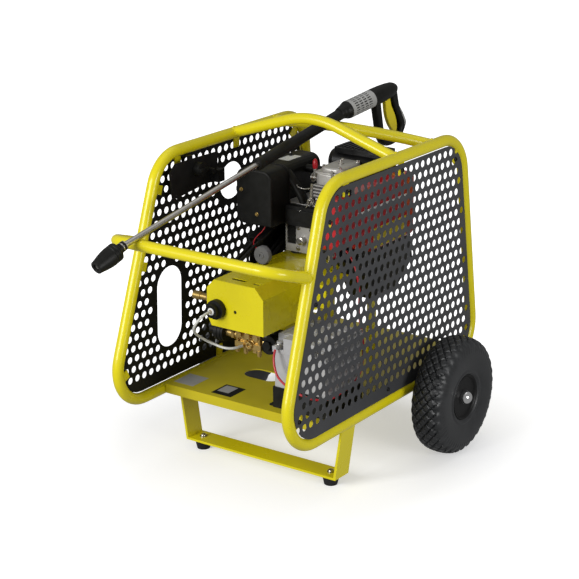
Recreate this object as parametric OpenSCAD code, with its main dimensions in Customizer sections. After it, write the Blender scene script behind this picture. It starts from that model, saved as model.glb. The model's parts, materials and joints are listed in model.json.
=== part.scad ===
// Engine-driven high-pressure washer in a wheeled tubular cage.
// Y runs from the push handle (front, -Y) to the wheels (rear, +Y); Z = 0 is the ground.
// Inside home() distances along Y are measured from the cage's lower front corner.

/* [Cage] */
// Outside diameter of the side frame tubes
tube_d = 30; // [28:0.5:32]
// Outside diameter of the handle and top bars
bar_d = 29; // [26:0.5:29]
// Distance from the middle of the machine to a side frame's centre plane
side_x = 257; // [255:1:262]
// Height of the lower tubes' centre line
base_z = 185; // [180:1:190]
// Height of the front top corner
top_z = 808; // [790:1:820]
// Inward lean of each side frame towards its top
side_lean = 1.2; // [0:0.1:1.5]
// Centre-line radius of the frame bends
bend_r = 100; // [80:5:110]

/* [Panels] */
// Thickness of the perforated side panels
panel_t = 2; // [1.5:0.5:3]
// Distance between neighbouring perforations
perf_pitch = 27.8; // [26:0.1:32]
// Radius of a perforation
perf_r = 9.2; // [7:0.1:10]

/* [Wheels] */
// Radius of the tyres
tyre_r = 156; // [150:1:158]
// Width of a tyre
tyre_w = 92; // [80:1:96]
// Distance from the middle of the machine to a wheel's centre plane
track_x = 345; // [344:1:350]
// Distance of the axle from the lower front corner
axle_y = 664; // [640:1:700]

/* [Pump] */
// Left and right sides of the pump cover
cover_x = [-98, 75]; // [-120:1:100]
// Bottom and top of the pump cover
cover_z = [398, 520]; // [380:1:540]
// Radius of the pump's belt pulley
pump_pulley_r = 52; // [50:1:54]

/* [Engine] */
// Height of the crankshaft above the ground
crank_z = 590; // [588:1:594]
// Distance of the crankshaft from the lower front corner
crank_y = 640; // [638:1:644]
// Radius of the crankshaft's belt pulley
engine_pulley_r = 26; // [26:1:28]

/* [Spray lance] */
// Radius of the steel lance tube
lance_r = 7.5; // [6:0.5:8]
// Radius of the insulated lance grip
grip_r = 15; // [13:0.5:15.5]
// Downward angle of the gun against the lance
gun_drop = 5; // [0:0.5:6]

/* [Hidden] */
$fn = 48;

// Middle of the machine's length, where the origin lies
home_y = -411.569;
lean_z = 428;
top_fall = 6;
corners = [[0, base_z], [210, top_z], [840, top_z - top_fall], [910, base_z]];
loop_ccw = [corners[0], corners[3], corners[2], corners[1]];
weld_lap = 1;
lap_step = 0.4;

module home() {
  translate([0, home_y, 0]) children();
}

// ---- Plane geometry ----
function unit(v) = v / norm(v);
function left_of(v) = [-v[1], v[0]];
function at(p, i) = p[(i + len(p)) % len(p)];
function cross2(a, b) = a[0] * b[1] - a[1] * b[0];
function tangent(a, b, c, r) = r * tan(acos(unit(b - a) * unit(c - b)) / 2);
function side_line(p, i, k) = let(u = unit(at(p, i + 1) - at(p, i))) [at(p, i) + k * left_of(u), u];
function meet(a, b) = a[0] + a[1] * cross2(b[0] - a[0], b[1]) / cross2(a[1], b[1]);
function inset(p, k) = [for (i = [0 : len(p) - 1]) meet(side_line(p, i - 1, k), side_line(p, i, k))];
function corner_arc(a, b, c, r, n) =
  let(u = unit(b - a), v = unit(c - b), side = sign(cross2(u, v)), turn = acos(u * v))
  let(start = b - u * tangent(a, b, c, r), centre = start + side * r * left_of(u), d = start - centre)
  [for (k = [0 : n]) centre + r * [cos(atan2(d[1], d[0]) + side * turn * k / n),
                                   sin(atan2(d[1], d[0]) + side * turn * k / n)]];
function rounded(p, r, n = 8) =
  [for (i = [0 : len(p) - 1]) each corner_arc(at(p, i - 1), at(p, i), at(p, i + 1), r, n)];
function depth_in(c, p) =
  min([for (i = [0 : len(p) - 1]) cross2(unit(at(p, i + 1) - at(p, i)), c - at(p, i))]);
function box_outline(a, b) = [a, [b[0], a[1]], b, [a[0], b[1]]];

// Two circles and the straight belt lines that touch both, c1 to c2 seen from the side
function belt_outline(c1, r1, c2, r2, n = 14) =
  let(v = c2 - c1, lean = acos((r1 - r2) / norm(v)), to = atan2(v[1], v[0]))
  concat([for (k = [0 : n]) c1 + r1 * [cos(to + lean + (360 - 2 * lean) * k / n),
                                       sin(to + lean + (360 - 2 * lean) * k / n)]],
         [for (k = [0 : n]) c2 + r2 * [cos(to - lean + 2 * lean * k / n),
                                       sin(to - lean + 2 * lean * k / n)]]);

// ---- Bent tube in the XY plane ----
module rod(a, b, d) {
  v = b - a;
  translate([a[0], a[1], 0]) rotate([0, 0, atan2(v[1], v[0])]) rotate([0, 90, 0]) cylinder(h = norm(v), d = d);
}

// The elbow laps a little way inside the straight tubes that it joins
module elbow(a, b, c, r, d) {
  u = unit(b - a);
  v = unit(c - b);
  side = sign(cross2(u, v));
  turn = acos(u * v);
  start = b - u * tangent(a, b, c, r);
  centre = start + side * r * left_of(u);
  from = atan2(start[1] - centre[1], start[0] - centre[0]);
  translate([centre[0], centre[1], 0]) rotate([0, 0, (side > 0 ? from : from - turn) - weld_lap])
    rotate_extrude(angle = turn + 2 * weld_lap) translate([r, 0]) circle(d = d - lap_step);
}

module bent_loop(p, r, d) {
  for (i = [0 : len(p) - 1]) {
    u = unit(at(p, i + 1) - at(p, i));
    elbow(at(p, i - 1), at(p, i), at(p, i + 1), r, d);
    rod(at(p, i) + u * tangent(at(p, i - 1), at(p, i), at(p, i + 1), r),
        at(p, i + 1) - u * tangent(at(p, i), at(p, i + 1), at(p, i + 2), r), d);
  }
}

module bent_tube(p, r, d) {
  last = len(p) - 1;
  for (i = [1 : last - 1]) elbow(p[i - 1], p[i], p[i + 1], r, d);
  for (i = [0 : last - 1]) {
    u = unit(p[i + 1] - p[i]);
    from = i == 0 ? p[i] : p[i] + u * tangent(p[i - 1], p[i], p[i + 1], r);
    to = i + 1 == last ? p[i + 1] : p[i + 1] - u * tangent(p[i], p[i + 1], p[i + 2], r);
    rod(from, to, d);
  }
}

// ---- Shared placing and small shapes ----
// A side's own plane: X forward to rear, Y up, Z outward
module on_side(s) {
  mirror([s < 0 ? 1 : 0, 0, 0]) translate([side_x, 0, lean_z]) rotate([0, -side_lean, 0])
    translate([0, 0, -lean_z]) rotate([90, 0, 90]) children();
}

module box(a, b) {
  translate(a) cube(b - a);
}

module cyl_x(x0, x1, y, z, r) {
  translate([x0, y, z]) rotate([0, 90, 0]) cylinder(h = x1 - x0, r = r);
}

module cyl_y(y0, y1, x, z, r) {
  translate([x, y0, z]) rotate([-90, 0, 0]) cylinder(h = y1 - y0, r = r);
}

module cyl_z(z0, z1, x, y, r) {
  translate([x, y, z0]) cylinder(h = z1 - z0, r = r);
}

module hex_z(z0, z1, x, y, r) {
  translate([x, y, z0]) cylinder(h = z1 - z0, r = r, $fn = 6);
}

module slot_z(z0, z1, x, y, length, width) {
  for (k = [-1, 1]) cyl_z(z0, z1, x + k * (length - width) / 2, y, width / 2);
  box([x - (length - width) / 2, y - width / 2, z0], [x + (length - width) / 2, y + width / 2, z1]);
}

// A plate from x0 to x1 whose outline is given as Y and Z
module plate_x(x0, x1, outline) {
  translate([x0, 0, 0]) rotate([90, 0, 90]) linear_extrude(x1 - x0) polygon(outline);
}

// A plate from y0 to y1 whose outline is given as X and Z
module plate_y(y0, y1, outline) {
  translate([0, y1, 0]) rotate([90, 0, 0]) linear_extrude(y1 - y0) polygon(outline);
}

// ---- Cage ----
tab_points = [[74, 262], [465, 218], [850, 232], [800, 746], [540, 773], [292, 775], [217, 718], [152, 532]];
tab_turns = [-68, 0, 44.5, 135, 180, 180, -108.5, -108.5];
tab_w = 24;
tab_t = 3;
tab_z = 3.9;
panel_z = 7;

module side_frame(s) {
  on_side(s) {
    bent_loop(corners, bend_r, tube_d);
    for (i = [0 : len(tab_points) - 1])
      translate([tab_points[i][0], tab_points[i][1], tab_z]) rotate([0, 0, tab_turns[i]])
        translate([-tab_w / 2, -27, 0]) cube([tab_w, 38, tab_t]);
  }
}

module side_frame_left() home() color("gold") side_frame(-1);
module side_frame_right() home() color("gold") side_frame(1);

handle_z = 600;
handle_reach = 137;
handle_r = 60;
front_slope = atan2(corners[1][1] - base_z, corners[1][0]);
handle_y = (handle_z - base_z) / tan(front_slope);
handle_x = side_x - tan(side_lean) * (handle_z - lean_z) - 0.3;
cross_y = handle_y - handle_reach * sin(front_slope);
cross_z = handle_z + handle_reach * cos(front_slope);

module push_handle() home() color("gold") difference() {
  translate([0, handle_y, handle_z]) rotate([90 + front_slope, 0, 0])
    bent_tube([[-handle_x, 0], [-handle_x, handle_reach], [handle_x, handle_reach], [handle_x, 0]], handle_r, bar_d);
  for (s = [-1, 1]) on_side(s) rod(corners[0], corners[1], tube_d);
}

// Height of the top tubes and half the distance between them at a distance y
function top_at(y) = top_z - top_fall * (y - corners[1][0]) / (corners[2][0] - corners[1][0]);
function half_at(y) = side_x - tan(side_lean) * (top_at(y) - lean_z);
arch_y = 523;
arch_angle = 18;
arch_r = 260;
arch_peak = top_at(arch_y) + half_at(arch_y) * tan(arch_angle);
rear_bar_y = 700;
rear_rise = 10;

module cut_by_top_tubes() difference() {
  children();
  for (s = [-1, 1]) on_side(s) rod(corners[1], corners[2], tube_d);
}

module front_arch() translate([0, arch_y, 0]) rotate([90, 0, 0])
  bent_tube([[-half_at(arch_y), top_at(arch_y)], [0, arch_peak], [half_at(arch_y), top_at(arch_y)]], arch_r, bar_d);

rear_half = half_at(rear_bar_y);
rear_r = (rear_half * rear_half + rear_rise * rear_rise) / (2 * rear_rise);
rear_angle = asin(rear_half / rear_r);

module rear_bar() translate([0, rear_bar_y, top_at(rear_bar_y) + rear_rise - rear_r]) rotate([90, 0, 0])
  rotate([0, 0, 90 - rear_angle]) rotate_extrude(angle = 2 * rear_angle, $fn = 720)
    translate([rear_r, 0]) circle(d = bar_d, $fn = 48);

module top_bars() home() color("gold") cut_by_top_tubes() {
  front_arch();
  rear_bar();
}

tray_top = 203;
tray_t = 3;
tray_x = 246;
tray_y = [208, 886];
tray_lip = 25;

module bottom_tray() home() color("gold") difference() {
  box([-tray_x, tray_y[0], tray_top - tray_lip], [tray_x, tray_y[1], tray_top]);
  box([tray_t - tray_x, tray_y[0] + tray_t, tray_top - tray_lip - 1],
      [tray_x - tray_t, tray_y[1] - tray_t, tray_top - tray_t]);
  slot_z(tray_top - tray_t - 1, tray_top + 1, -72, 400, 110, 62);
  for (x = [-190, 190]) cyl_z(tray_top - tray_t - 1, tray_top + 1, x, 840, 8);
}

deck_top = 500;
deck_t = 4;
deck_x = [-105, 150];
deck_y = [362, 838];
// Behind the step the deck is narrower, to leave room for the fan housing
step_x = 58;
step_y = 470;
leg_y = [500, 700];

module engine_platform() home() color("gold") difference() {
  union() {
    box([deck_x[0], deck_y[0], deck_top - deck_t], [step_x, deck_y[1], deck_top]);
    box([deck_x[0], deck_y[0], deck_top - deck_t], [deck_x[1], step_y, deck_top]);
    box([deck_x[0], deck_y[0], deck_top - 60], [deck_x[1], deck_y[0] + deck_t, deck_top]);
    box([deck_x[1] - deck_t, deck_y[0], deck_top - 60], [deck_x[1], step_y - 70, deck_top]);
    box([step_x - deck_t, step_y, deck_top - 40], [step_x, deck_y[1], deck_top]);
    box([deck_x[0], deck_y[0], deck_top - 40], [deck_x[0] + deck_t, deck_y[1], deck_top]);
    box([deck_x[0], deck_y[1] - deck_t, deck_top - 40], [step_x, deck_y[1], deck_top]);
    for (y = leg_y) {
      box([deck_x[0], y, tray_top], [deck_x[0] + deck_t, y + 40, deck_top]);
      box([deck_x[0], y, tray_top], [deck_x[0] + 40, y + 40, tray_top + deck_t]);
      box([step_x - deck_t, y, tray_top], [step_x, y + 40, deck_top]);
      box([step_x - 40, y, tray_top], [step_x, y + 40, tray_top + deck_t]);
    }
  }
  slot_z(deck_top - deck_t - 1, deck_top + 1, -66, 402, 58, 26);
  slot_z(deck_top - deck_t - 1, deck_top + 1, 60, 420, 90, 26);
  cyl_z(deck_top - deck_t - 1, deck_top + 1, -86, 475, 5);
  cyl_z(deck_top - deck_t - 1, deck_top + 1, -60, 470, 5);
}

stand_y = [276, 336];
stand_t = 6;
stand_z = 26;
stand_x = 236;
stand_top_x = 257;
stand_top_z = 170;
foot_x = 203;

module front_stand() home() color("gold") plate_y(stand_y[0], stand_y[1], concat(
    [[-stand_top_x, stand_top_z], [-stand_x, stand_z], [stand_x, stand_z], [stand_top_x, stand_top_z]],
    [[stand_top_x - stand_t, stand_top_z], [stand_x - stand_t, stand_z + stand_t],
     [stand_t - stand_x, stand_z + stand_t], [stand_t - stand_top_x, stand_top_z]]));

module rubber_feet() home() color("dimgray") for (s = [-1, 1])
  translate([s * foot_x, (stand_y[0] + stand_y[1]) / 2, 0]) cylinder(h = stand_z, r1 = 17, r2 = 23);

panel_inset = 15;
hole_margin = 5.8;
panel_edge = inset(loop_ccw, panel_inset);
window_y = 257;
window_z = [338, 456];
window_r = 50;
port = [521, 675];
port_r = 50;
perf_start = [624, 518.5];
function clear_of_window(c) = norm([c[0] - window_y, c[1] - max(window_z[0], min(window_z[1], c[1]))]);

module side_panel(s, open) {
  on_side(s) translate([0, 0, panel_z]) linear_extrude(panel_t) difference() {
    polygon(rounded(panel_edge, bend_r - panel_inset));
    for (row = [-13 : 12]) for (col = [-26 : 14]) {
      c = perf_start + perf_pitch * [col + (row % 2 == 0 ? 0 : 0.5), row];
      solid_here = open && (clear_of_window(c) < window_r + perf_r + 5 || norm(c - port) < port_r + perf_r + 5);
      if (depth_in(c, panel_edge) > perf_r + hole_margin && !solid_here) translate(c) circle(r = perf_r);
    }
    if (open) {
      translate(port) circle(r = port_r);
      for (z = window_z) translate([window_y, z]) circle(r = window_r);
      translate([window_y - window_r, window_z[0]]) square([2 * window_r, window_z[1] - window_z[0]]);
    }
  }
}

module side_panel_left() home() color("dimgray") side_panel(-1, true);
module side_panel_right() home() color("dimgray") side_panel(1, false);

module frame_screws() home() color("black") for (s = [-1, 1]) {
  on_side(s) for (p = tab_points) translate([p[0], p[1], panel_z + panel_t]) cylinder(h = 3, r = 6);
  hex_z(stand_z + stand_t, stand_z + stand_t + 6, s * foot_x, (stand_y[0] + stand_y[1]) / 2, 8);
}

// ---- Running gear ----
axle_r = 10;
carrier_r = 13.5;
axle_x = 392;

module axle() home() color("dimgray") {
  cyl_x(-axle_x, axle_x, axle_y, tyre_r, axle_r);
  cyl_x(-286, 286, axle_y, tyre_r, carrier_r);
}

bead_r = 58;
module tyre(s) {
  translate([s * track_x, axle_y, tyre_r]) rotate([0, 90, 0]) rotate_extrude() polygon([
    [bead_r, -36], [92, -tyre_w / 2 + 4], [118, -tyre_w / 2], [138, -tyre_w / 2 + 3], [149, -tyre_w / 2 + 11],
    [tyre_r - 1, -tyre_w / 2 + 21], [tyre_r, -12], [tyre_r, 12], [tyre_r - 1, tyre_w / 2 - 21],
    [149, tyre_w / 2 - 11], [138, tyre_w / 2 - 3], [118, tyre_w / 2], [92, tyre_w / 2 - 4], [bead_r, 36]]);
}

module rim(s) {
  translate([s * track_x, axle_y, tyre_r]) rotate([0, 90, 0]) rotate_extrude() polygon([
    [axle_r + 0.05, -34], [22, -34], [22, -8], [46, -5], [50, -33], [bead_r, -36], [bead_r, 36], [50, 33],
    [46, 5], [22, 8], [22, 34], [axle_r + 0.05, 34]]);
}

module tyre_left() home() color("dimgray") tyre(-1);
module tyre_right() home() color("dimgray") tyre(1);
module rim_left() home() color("black") rim(-1);
module rim_right() home() color("black") rim(1);

module hub_caps() home() color("silver") for (s = [-1, 1]) mirror([s < 0 ? 1 : 0, 0, 0]) difference() {
  union() {
    cyl_x(track_x + 34.3, track_x + 40, axle_y, tyre_r, 18.4);
    translate([track_x + 38, axle_y, tyre_r]) intersection() {
      sphere(r = 18.4);
      translate([0, -20, -20]) cube(40);
    }
  }
  cyl_x(track_x, axle_x + 0.05, axle_y, tyre_r, axle_r);
}

// ---- Engine ----
block_x = [-94, 60];
block_y = [535, 745];
block_z = [508, 640];
shaft_r = 14;
bore_x = 14;
plug_at = [-40, 543];
crank_throw = 25;

module engine_mounts() home() color("dimgray") for (x = [block_x[0] + 22, block_x[1] - 22], y = [560, 720])
  cyl_z(deck_top, block_z[0], x, y, 19);

module engine_crankcase() home() color("lightgray") difference() {
  box([block_x[0], block_y[0], block_z[0]], [block_x[1], block_y[1], block_z[1]]);
  box([block_x[0] + 10, block_y[0] + 12, block_z[0] + 10], [block_x[1] - 10, block_y[1] - 10, block_z[1] - 8]);
  cyl_x(block_x[0] - 1, block_x[1] + 1, crank_y, crank_z, shaft_r + 0.05);
  cyl_z(block_z[1] - 9, block_z[1] + 1, bore_x, crank_y, 33);
  box([block_x[0] + 5, block_y[0] - 1, 528], [block_x[0] + 33, block_y[0] + 5, 578]);
  cyl_y(block_y[0] - 1, block_y[0] + 13, plug_at[0], plug_at[1], 6.1);
}

// A crankshaft built from two halves, with the crank pin held in the connecting rod's big end
web_r = 38;
web_gap = 11.3;
module crankshaft() home() color("silver") {
  cyl_x(-145, bore_x - web_gap, crank_y, crank_z, shaft_r);
  cyl_x(bore_x + web_gap, 86, crank_y, crank_z, shaft_r);
  cyl_x(bore_x - web_gap - 12, bore_x - web_gap, crank_y, crank_z, web_r);
  cyl_x(bore_x + web_gap, bore_x + web_gap + 12, crank_y, crank_z, web_r);
}

module flywheel() home() color("gray") difference() {
  cyl_x(66, 82, crank_y, crank_z, 66);
  cyl_x(65, 83, crank_y, crank_z, shaft_r);
}

pulley_x = [-141, -113];
groove = 7;
module pulley(r, bore) {
  rotate([0, 90, 0]) rotate_extrude() polygon([
    [bore, 0], [r, 0], [r, 1.5], [r - groove, 3.5], [r - groove, 10.5], [r, 12.5], [r, 15.5], [r - groove, 17.5],
    [r - groove, 24.5], [r, 26.5], [r, 28], [bore, 28]]);
}

module engine_pulley() home() color("gray") translate([pulley_x[0], crank_y, crank_z]) pulley(engine_pulley_r, shaft_r);

module cylinder_block() home() color("silver") difference() {
  union() {
    box([-25, crank_y - 45, block_z[1]], [54, crank_y + 39, 690]);
    for (k = [0 : 4]) box([-32, 572, 646 + 9 * k], [59, crank_y + 46, 650 + 9 * k]);
  }
  cyl_z(block_z[1] - 1, 691, bore_x, crank_y, 31);
}

piston_z = [654, 688];
module piston_and_rod() home() color("silver") {
  difference() {
    cyl_z(piston_z[0], piston_z[1], bore_x, crank_y, 30.7);
    cyl_z(piston_z[0] - 1, piston_z[1] - 8, bore_x, crank_y, 24);
  }
  difference() {
    union() {
      cyl_x(bore_x - 11, bore_x + 11, crank_y, crank_z + crank_throw, 17);
      cyl_x(bore_x - 9, bore_x + 9, crank_y, 668, 10);
      box([bore_x - 6, crank_y - 7, crank_z + crank_throw + 8], [bore_x + 6, crank_y + 7, 668]);
    }
    cyl_x(bore_x - 12, bore_x + 12, crank_y, 668, 6);
  }
  cyl_x(bore_x - 22, bore_x + 22, crank_y, 668, 6);
}

module cylinder_head() home() color("silver") difference() {
  union() {
    box([-22, 562, 690], [60, 690, 722]);
    cyl_x(-37, -22, release_at[1], release_at[2], 3);
  }
  for (x = [-15, 53], y = [569, 683]) cyl_z(712, 723, x, y, 5);
}

module rocker_cover() home() color("lightgray") plate_y(572, 680, rounded(box_outline([-14, 722], [52, 748]), 9, 4));

module engine_cowl() home() color("dimgray") {
  plate_y(512, block_y[0], rounded(box_outline([-79, 586], [58, 639]), 8, 4));
  for (k = [0 : 2]) box([-71, 510, 596 + 12 * k], [50, 512.5, 602 + 12 * k]);
  box([lever_at[0] - 6, 528, 630], [lever_at[0] + 6, block_y[0], lever_at[2] + 9]);
  cyl_y(lever_at[1] - 4, 530, lever_at[0], lever_at[2], 3);
}

fan_r = 135;
fan_x = [60, 92];

// The sheet-metal duct under the fan, open at its bottom
duct_x = [62, 140];
duct_outline = [[598, 396], [712, 402], [788, 462], [776, 534], [560, 534], [560, 470]];
module air_duct() difference() {
  plate_x(duct_x[0], duct_x[1], duct_outline);
  plate_x(duct_x[0] + 2, duct_x[1] - 2, inset(duct_outline, 2));
  plate_x(duct_x[0] + 2, duct_x[1] - 2, [[606, 390], [706, 390], [706, 408], [606, 408]]);
}

module fan_housing() home() color("dimgray") difference() {
  union() {
    cyl_x(fan_x[0], fan_x[1], crank_y, crank_z, fan_r);
    cyl_x(fan_x[1], fan_x[1] + 3, crank_y, crank_z, 58);
    air_duct();
  }
  cyl_x(63, 86.5, crank_y, crank_z, 70);
  cyl_x(59, 64, crank_y, crank_z, shaft_r + 1);
  for (k = [0 : 11]) translate([0, crank_y, crank_z]) rotate([30 * k, 0, 0]) cyl_x(85, 96, 0, 45, 7);
  cyl_x(fan_x[0] - 1, fan_x[1] + 1, 500, 548, 29.5);
}

cleaner_x = [-192, -80];
cleaner_z = [588, 736];
cleaner_split = 533;
duct_z = 632;
body_x = -97;
function cleaner_outline(x0, x1, z0, z1) = concat(
  corner_arc([x1, z0], [x1, z1], [x0, z1], 26, 5), corner_arc([x1, z1], [x0, z1], [x0, z0], 26, 5),
  [[x0, z0 + 18], [x0 + 22, z0], [x1, z0]]);

module air_cleaner_body() home() color("black") {
  plate_y(cleaner_split, 700, cleaner_outline(cleaner_x[0] + 3, body_x, duct_z, cleaner_z[1] - 3));
  cyl_x(body_x - 1, -22.1, 640, 706, 11);
}

module air_cleaner_cover() home() color("black") difference() {
  union() {
    plate_y(452, cleaner_split, cleaner_outline(cleaner_x[0], cleaner_x[1], cleaner_z[0], cleaner_z[1]));
    cyl_y(447, 452, -175, 679, 5);
    cyl_y(447, 452, -126, 619, 5);
    cyl_x(cleaner_x[0] - 9, cleaner_x[0], 478, 674, 15);
  }
  plate_y(455, cleaner_split - 3, cleaner_outline(cleaner_x[0] + 3, cleaner_x[1] - 3, cleaner_z[0] + 3, cleaner_z[1] - 3));
  plate_y(cleaner_split - 4, cleaner_split + 1, box_outline([-176, 650], [-112, 716]));
}

muffler_at = [732, 733];
muffler_r = 34;
module muffler() home() color("dimgray") {
  cyl_x(-76, 95, muffler_at[0], muffler_at[1], muffler_r);
  box([-48, 696, 748], [94, 768, 776]);
  for (k = [0 : 7]) box([-42 + 17 * k, 698, 776], [-35 + 17 * k, 766, 779]);
  cyl_y(690, 712, 26, 706, 12);
  cyl_x(95, 112, 738, 738, 11);
  box([14, 714, block_z[1]], [38, 734, 712]);
}

tank_x = [98, 172];
tank_y = [384, 750];
tank_z = [580, 714];
tap = [135, 420, 566];
tank_deep_y = 530;
tank_deep_z = 543;
module tank_block(y, z) hull()
  for (x = [tank_x[0] + 16, tank_x[1] - 16], b = [y[0] + 16, y[1] - 16], c = [z[0] + 16, z[1] - 16])
    translate([x, b, c]) sphere(r = 16, $fn = 24);

module fuel_tank() home() color("red") difference() {
  union() {
    tank_block(tank_y, tank_z);
    tank_block([tank_deep_y, tank_y[1]], [tank_deep_z, tank_z[1]]);
    cyl_z(tank_z[1] - 6, tank_z[1] + 8, 135, 455, 22);
    for (y = [560, 703]) box([fan_x[1], y, 606], [tank_x[0] + 4, y + 18, 630]);
    cyl_z(556, tank_z[0] + 6, tap[0], tap[1], 7);
  }
  box([108, 400, 592], [162, 734, 702]);
  box([108, tank_deep_y + 14, tank_deep_z + 12], [162, 734, 600]);
  cyl_z(690, tank_z[1] + 9, 135, 455, 17);
}

module fuel_cap() home() color("black") difference() {
  cyl_z(tank_z[1] + 2, tank_z[1] + 22, 135, 455, 29);
  cyl_z(tank_z[1] + 1, tank_z[1] + 8.3, 135, 455, 22.05);
}

module fuel_tap() home() color("silver") {
  cyl_y(tap[1] - 16, tap[1] - 7.3, tap[0], tap[2], 8);
  box([tap[0] - 4, tap[1] - 20, tap[2] - 30], [tap[0] + 4, tap[1] - 16, tap[2] + 4]);
}

lever_at = [-6, 522, 655];
module speed_lever() home() color("silver") difference() {
  union() {
    cyl_y(lever_at[1] - 2, lever_at[1] + 4, lever_at[0], lever_at[2], 9);
    plate_y(lever_at[1] - 1, lever_at[1] + 2, [[-10, 655], [-2, 655], [2, 703], [-4, 703]]);
  }
  cyl_y(lever_at[1] - 3, lever_at[1] + 5, lever_at[0], lever_at[2], 3.05);
}

release_at = [-28, 576, 704];
module decompression_lever() home() color("red") difference() {
  union() {
    cyl_x(release_at[0] - 5, release_at[0] + 5, release_at[1], release_at[2], 8);
    plate_x(release_at[0] - 3, release_at[0] + 3, [[571, 704], [581, 704], [579, 742], [573, 742]]);
    cyl_z(734, 752, release_at[0], release_at[1], 6);
  }
  cyl_x(release_at[0] - 6, release_at[0] + 6, release_at[1], release_at[2], 3.05);
}

module oil_dipstick() home() color("black") {
  cyl_y(block_y[0] - 14, block_y[0] - 0.3, plug_at[0], plug_at[1], 11);
  cyl_y(block_y[0] - 1, block_y[0] + 70, plug_at[0], plug_at[1], 6);
}

module starter_motor() home() color("dimgray") {
  cyl_x(18, 96, 500, 548, 27);
  cyl_x(30, 68, 478, 570, 13);
  box([22, 520, 520], [58, 535, 560]);
}

// ---- Belt drive ----
pump_axis = [310, 440];
crank_axis = [crank_y, crank_z];
belt_gap = 0.4;
belt_h = 8;

module drive_belts() home() color("black") for (x = [pulley_x[0] + 4.1, pulley_x[0] + 18.1]) difference() {
  plate_x(x, x + 5.8, belt_outline(pump_axis, pump_pulley_r - groove + belt_gap + belt_h,
                                 crank_axis, engine_pulley_r - groove + belt_gap + belt_h));
  plate_x(x - 1, x + 7, belt_outline(pump_axis, pump_pulley_r - groove + belt_gap,
                                     crank_axis, engine_pulley_r - groove + belt_gap));
}

module belt_guard() home() color("black") difference() {
  plate_x(-150, -108, belt_outline([420, 490], 50, crank_axis, 35));
  plate_x(-147, -105, belt_outline([420, 490], 48.2, crank_axis, 33.2));
  box([-160, 300, 380], [-100, 450, 620]);
}

// ---- Pump ----
pump_x = [-70, 45];
pump_y = [252, 350];
pump_z = [402, 500];
pump_shaft_r = 11;
plunger_x = [-40, -14, 12];
plunger_r = 8;

function cover_outline(t) = [
  [cover_x[0] + t, cover_z[0] + 26], [cover_x[0] + t + 13, cover_z[0] - (t > 0 ? 1 : 0)],
  [cover_x[1] - t, cover_z[0] - (t > 0 ? 1 : 0)], [cover_x[1] - t, cover_z[1] - 28],
  [cover_x[1] - 25 - t / 2, cover_z[1] - t], [cover_x[0] + 23 + t / 2, cover_z[1] - t],
  [cover_x[0] + t, cover_z[1] - 24]];
knob_at = [-64, 446];

module pump_cover() home() color("gold") difference() {
  plate_y(200, 361.5, cover_outline(0));
  plate_y(202, 363, cover_outline(2));
  cyl_y(199, 203, knob_at[0], knob_at[1], 11);
  cyl_y(199, 203, -11, 446, 4.5);
  slot_z(cover_z[1] - 3, cover_z[1] + 1, -20, 232, 46, 12);
  slot_z(cover_z[1] - 3, cover_z[1] + 1, 36, 228, 22, 10);
  cyl_x(cover_x[0] - 1, cover_x[0] + 3, 232, 456, 13);
  cyl_x(cover_x[0] - 1, cover_x[0] + 3, pump_axis[0], pump_axis[1], 16);
}

module pump_crankcase() home() color("silver") difference() {
  union() {
    box([pump_x[0], pump_y[0], pump_z[0]], [pump_x[1], pump_y[1], pump_z[1]]);
    box([-80, 350, 430], [60, 361.5, 492]);
  }
  box([pump_x[0] + 10, pump_y[0] + 10, pump_z[0] + 12], [pump_x[1] - 10, pump_y[1] - 8, pump_z[1] - 8]);
  cyl_x(pump_x[0] - 1, pump_x[1] - 4, pump_axis[0], pump_axis[1], pump_shaft_r + 0.05);
  for (x = plunger_x) cyl_z(pump_z[0] - 1, pump_z[0] + 13, x, 290, plunger_r + 0.5);
}

module pump_shaft() home() color("silver") difference() {
  union() {
    translate([pulley_x[0], pump_axis[0], pump_axis[1]]) pulley(pump_pulley_r, pump_shaft_r - 1);
    cyl_x(pulley_x[0] - 3, pump_x[1] - 6, pump_axis[0], pump_axis[1], pump_shaft_r);
  }
  translate([pulley_x[0] - 4, pump_axis[0], pump_axis[1]]) rotate([0, 90, 0]) cylinder(h = 8, r = 4);
}

module plungers() home() color("white") for (x = plunger_x) cyl_z(352, 424, x, 290, plunger_r);

module pump_head() home() color("goldenrod") difference() {
  union() {
    box([-54, 254, 386], [26, 326, pump_z[0]]);
    box([-46, 262, 346], [18, 318, 386]);
    box([-54, 254, 334], [26, 326, 348]);
    for (x = plunger_x) cyl_y(250, 262, x, 367, 8);
    for (x = [-48, -22, 20], y = [258]) {
      cyl_z(322, 386, x, y, 3.5);
      hex_z(320, 334, x, y, 6.5);
    }
    for (x = [-31, -5]) hex_z(318, 334, x, 280, 11);
    cyl_y(168, 240, knob_at[0], knob_at[1], 5);
    cyl_z(392, 445, knob_at[0], 232, 5.5);
    box([-70, 226, 386], [-50, 300, 398]);
    cyl_y(246, 256, -25, 341, 5);
    cyl_x(-100, -46, 285, 352, 10);
    translate([-80, 285, 352]) rotate([0, 90, 0]) cylinder(h = 8, r = 14, $fn = 6);
  }
  for (x = plunger_x) cyl_z(350, pump_z[0] + 1, x, 290, plunger_r + 0.3);
}

module unloader_valve() home() color("dimgray") difference() {
  union() {
    cyl_y(262, 318, 44, 352, 25);
    cyl_z(372, 398, 44, 290, 14);
    translate([44, 262, 352]) rotate([90, 0, 0]) cylinder(h = 9, r = 13, $fn = 6);
  }
  box([0, 240, 320], [26.1, 330, 400]);
}

module outlet_pipe() home() color("goldenrod") difference() {
  union() {
    cyl_x(-140, pump_x[0], 232, 456, 9);
    cyl_x(-162, -140, 232, 456, 11);
    translate([-116, 232, 456]) rotate([0, 90, 0]) cylinder(h = 12, r = 14, $fn = 6);
    box([-88, 226, 446], [-70, 262, 466]);
  }
  cyl_x(-163, -100, 232, 456, 5);
}

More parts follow.
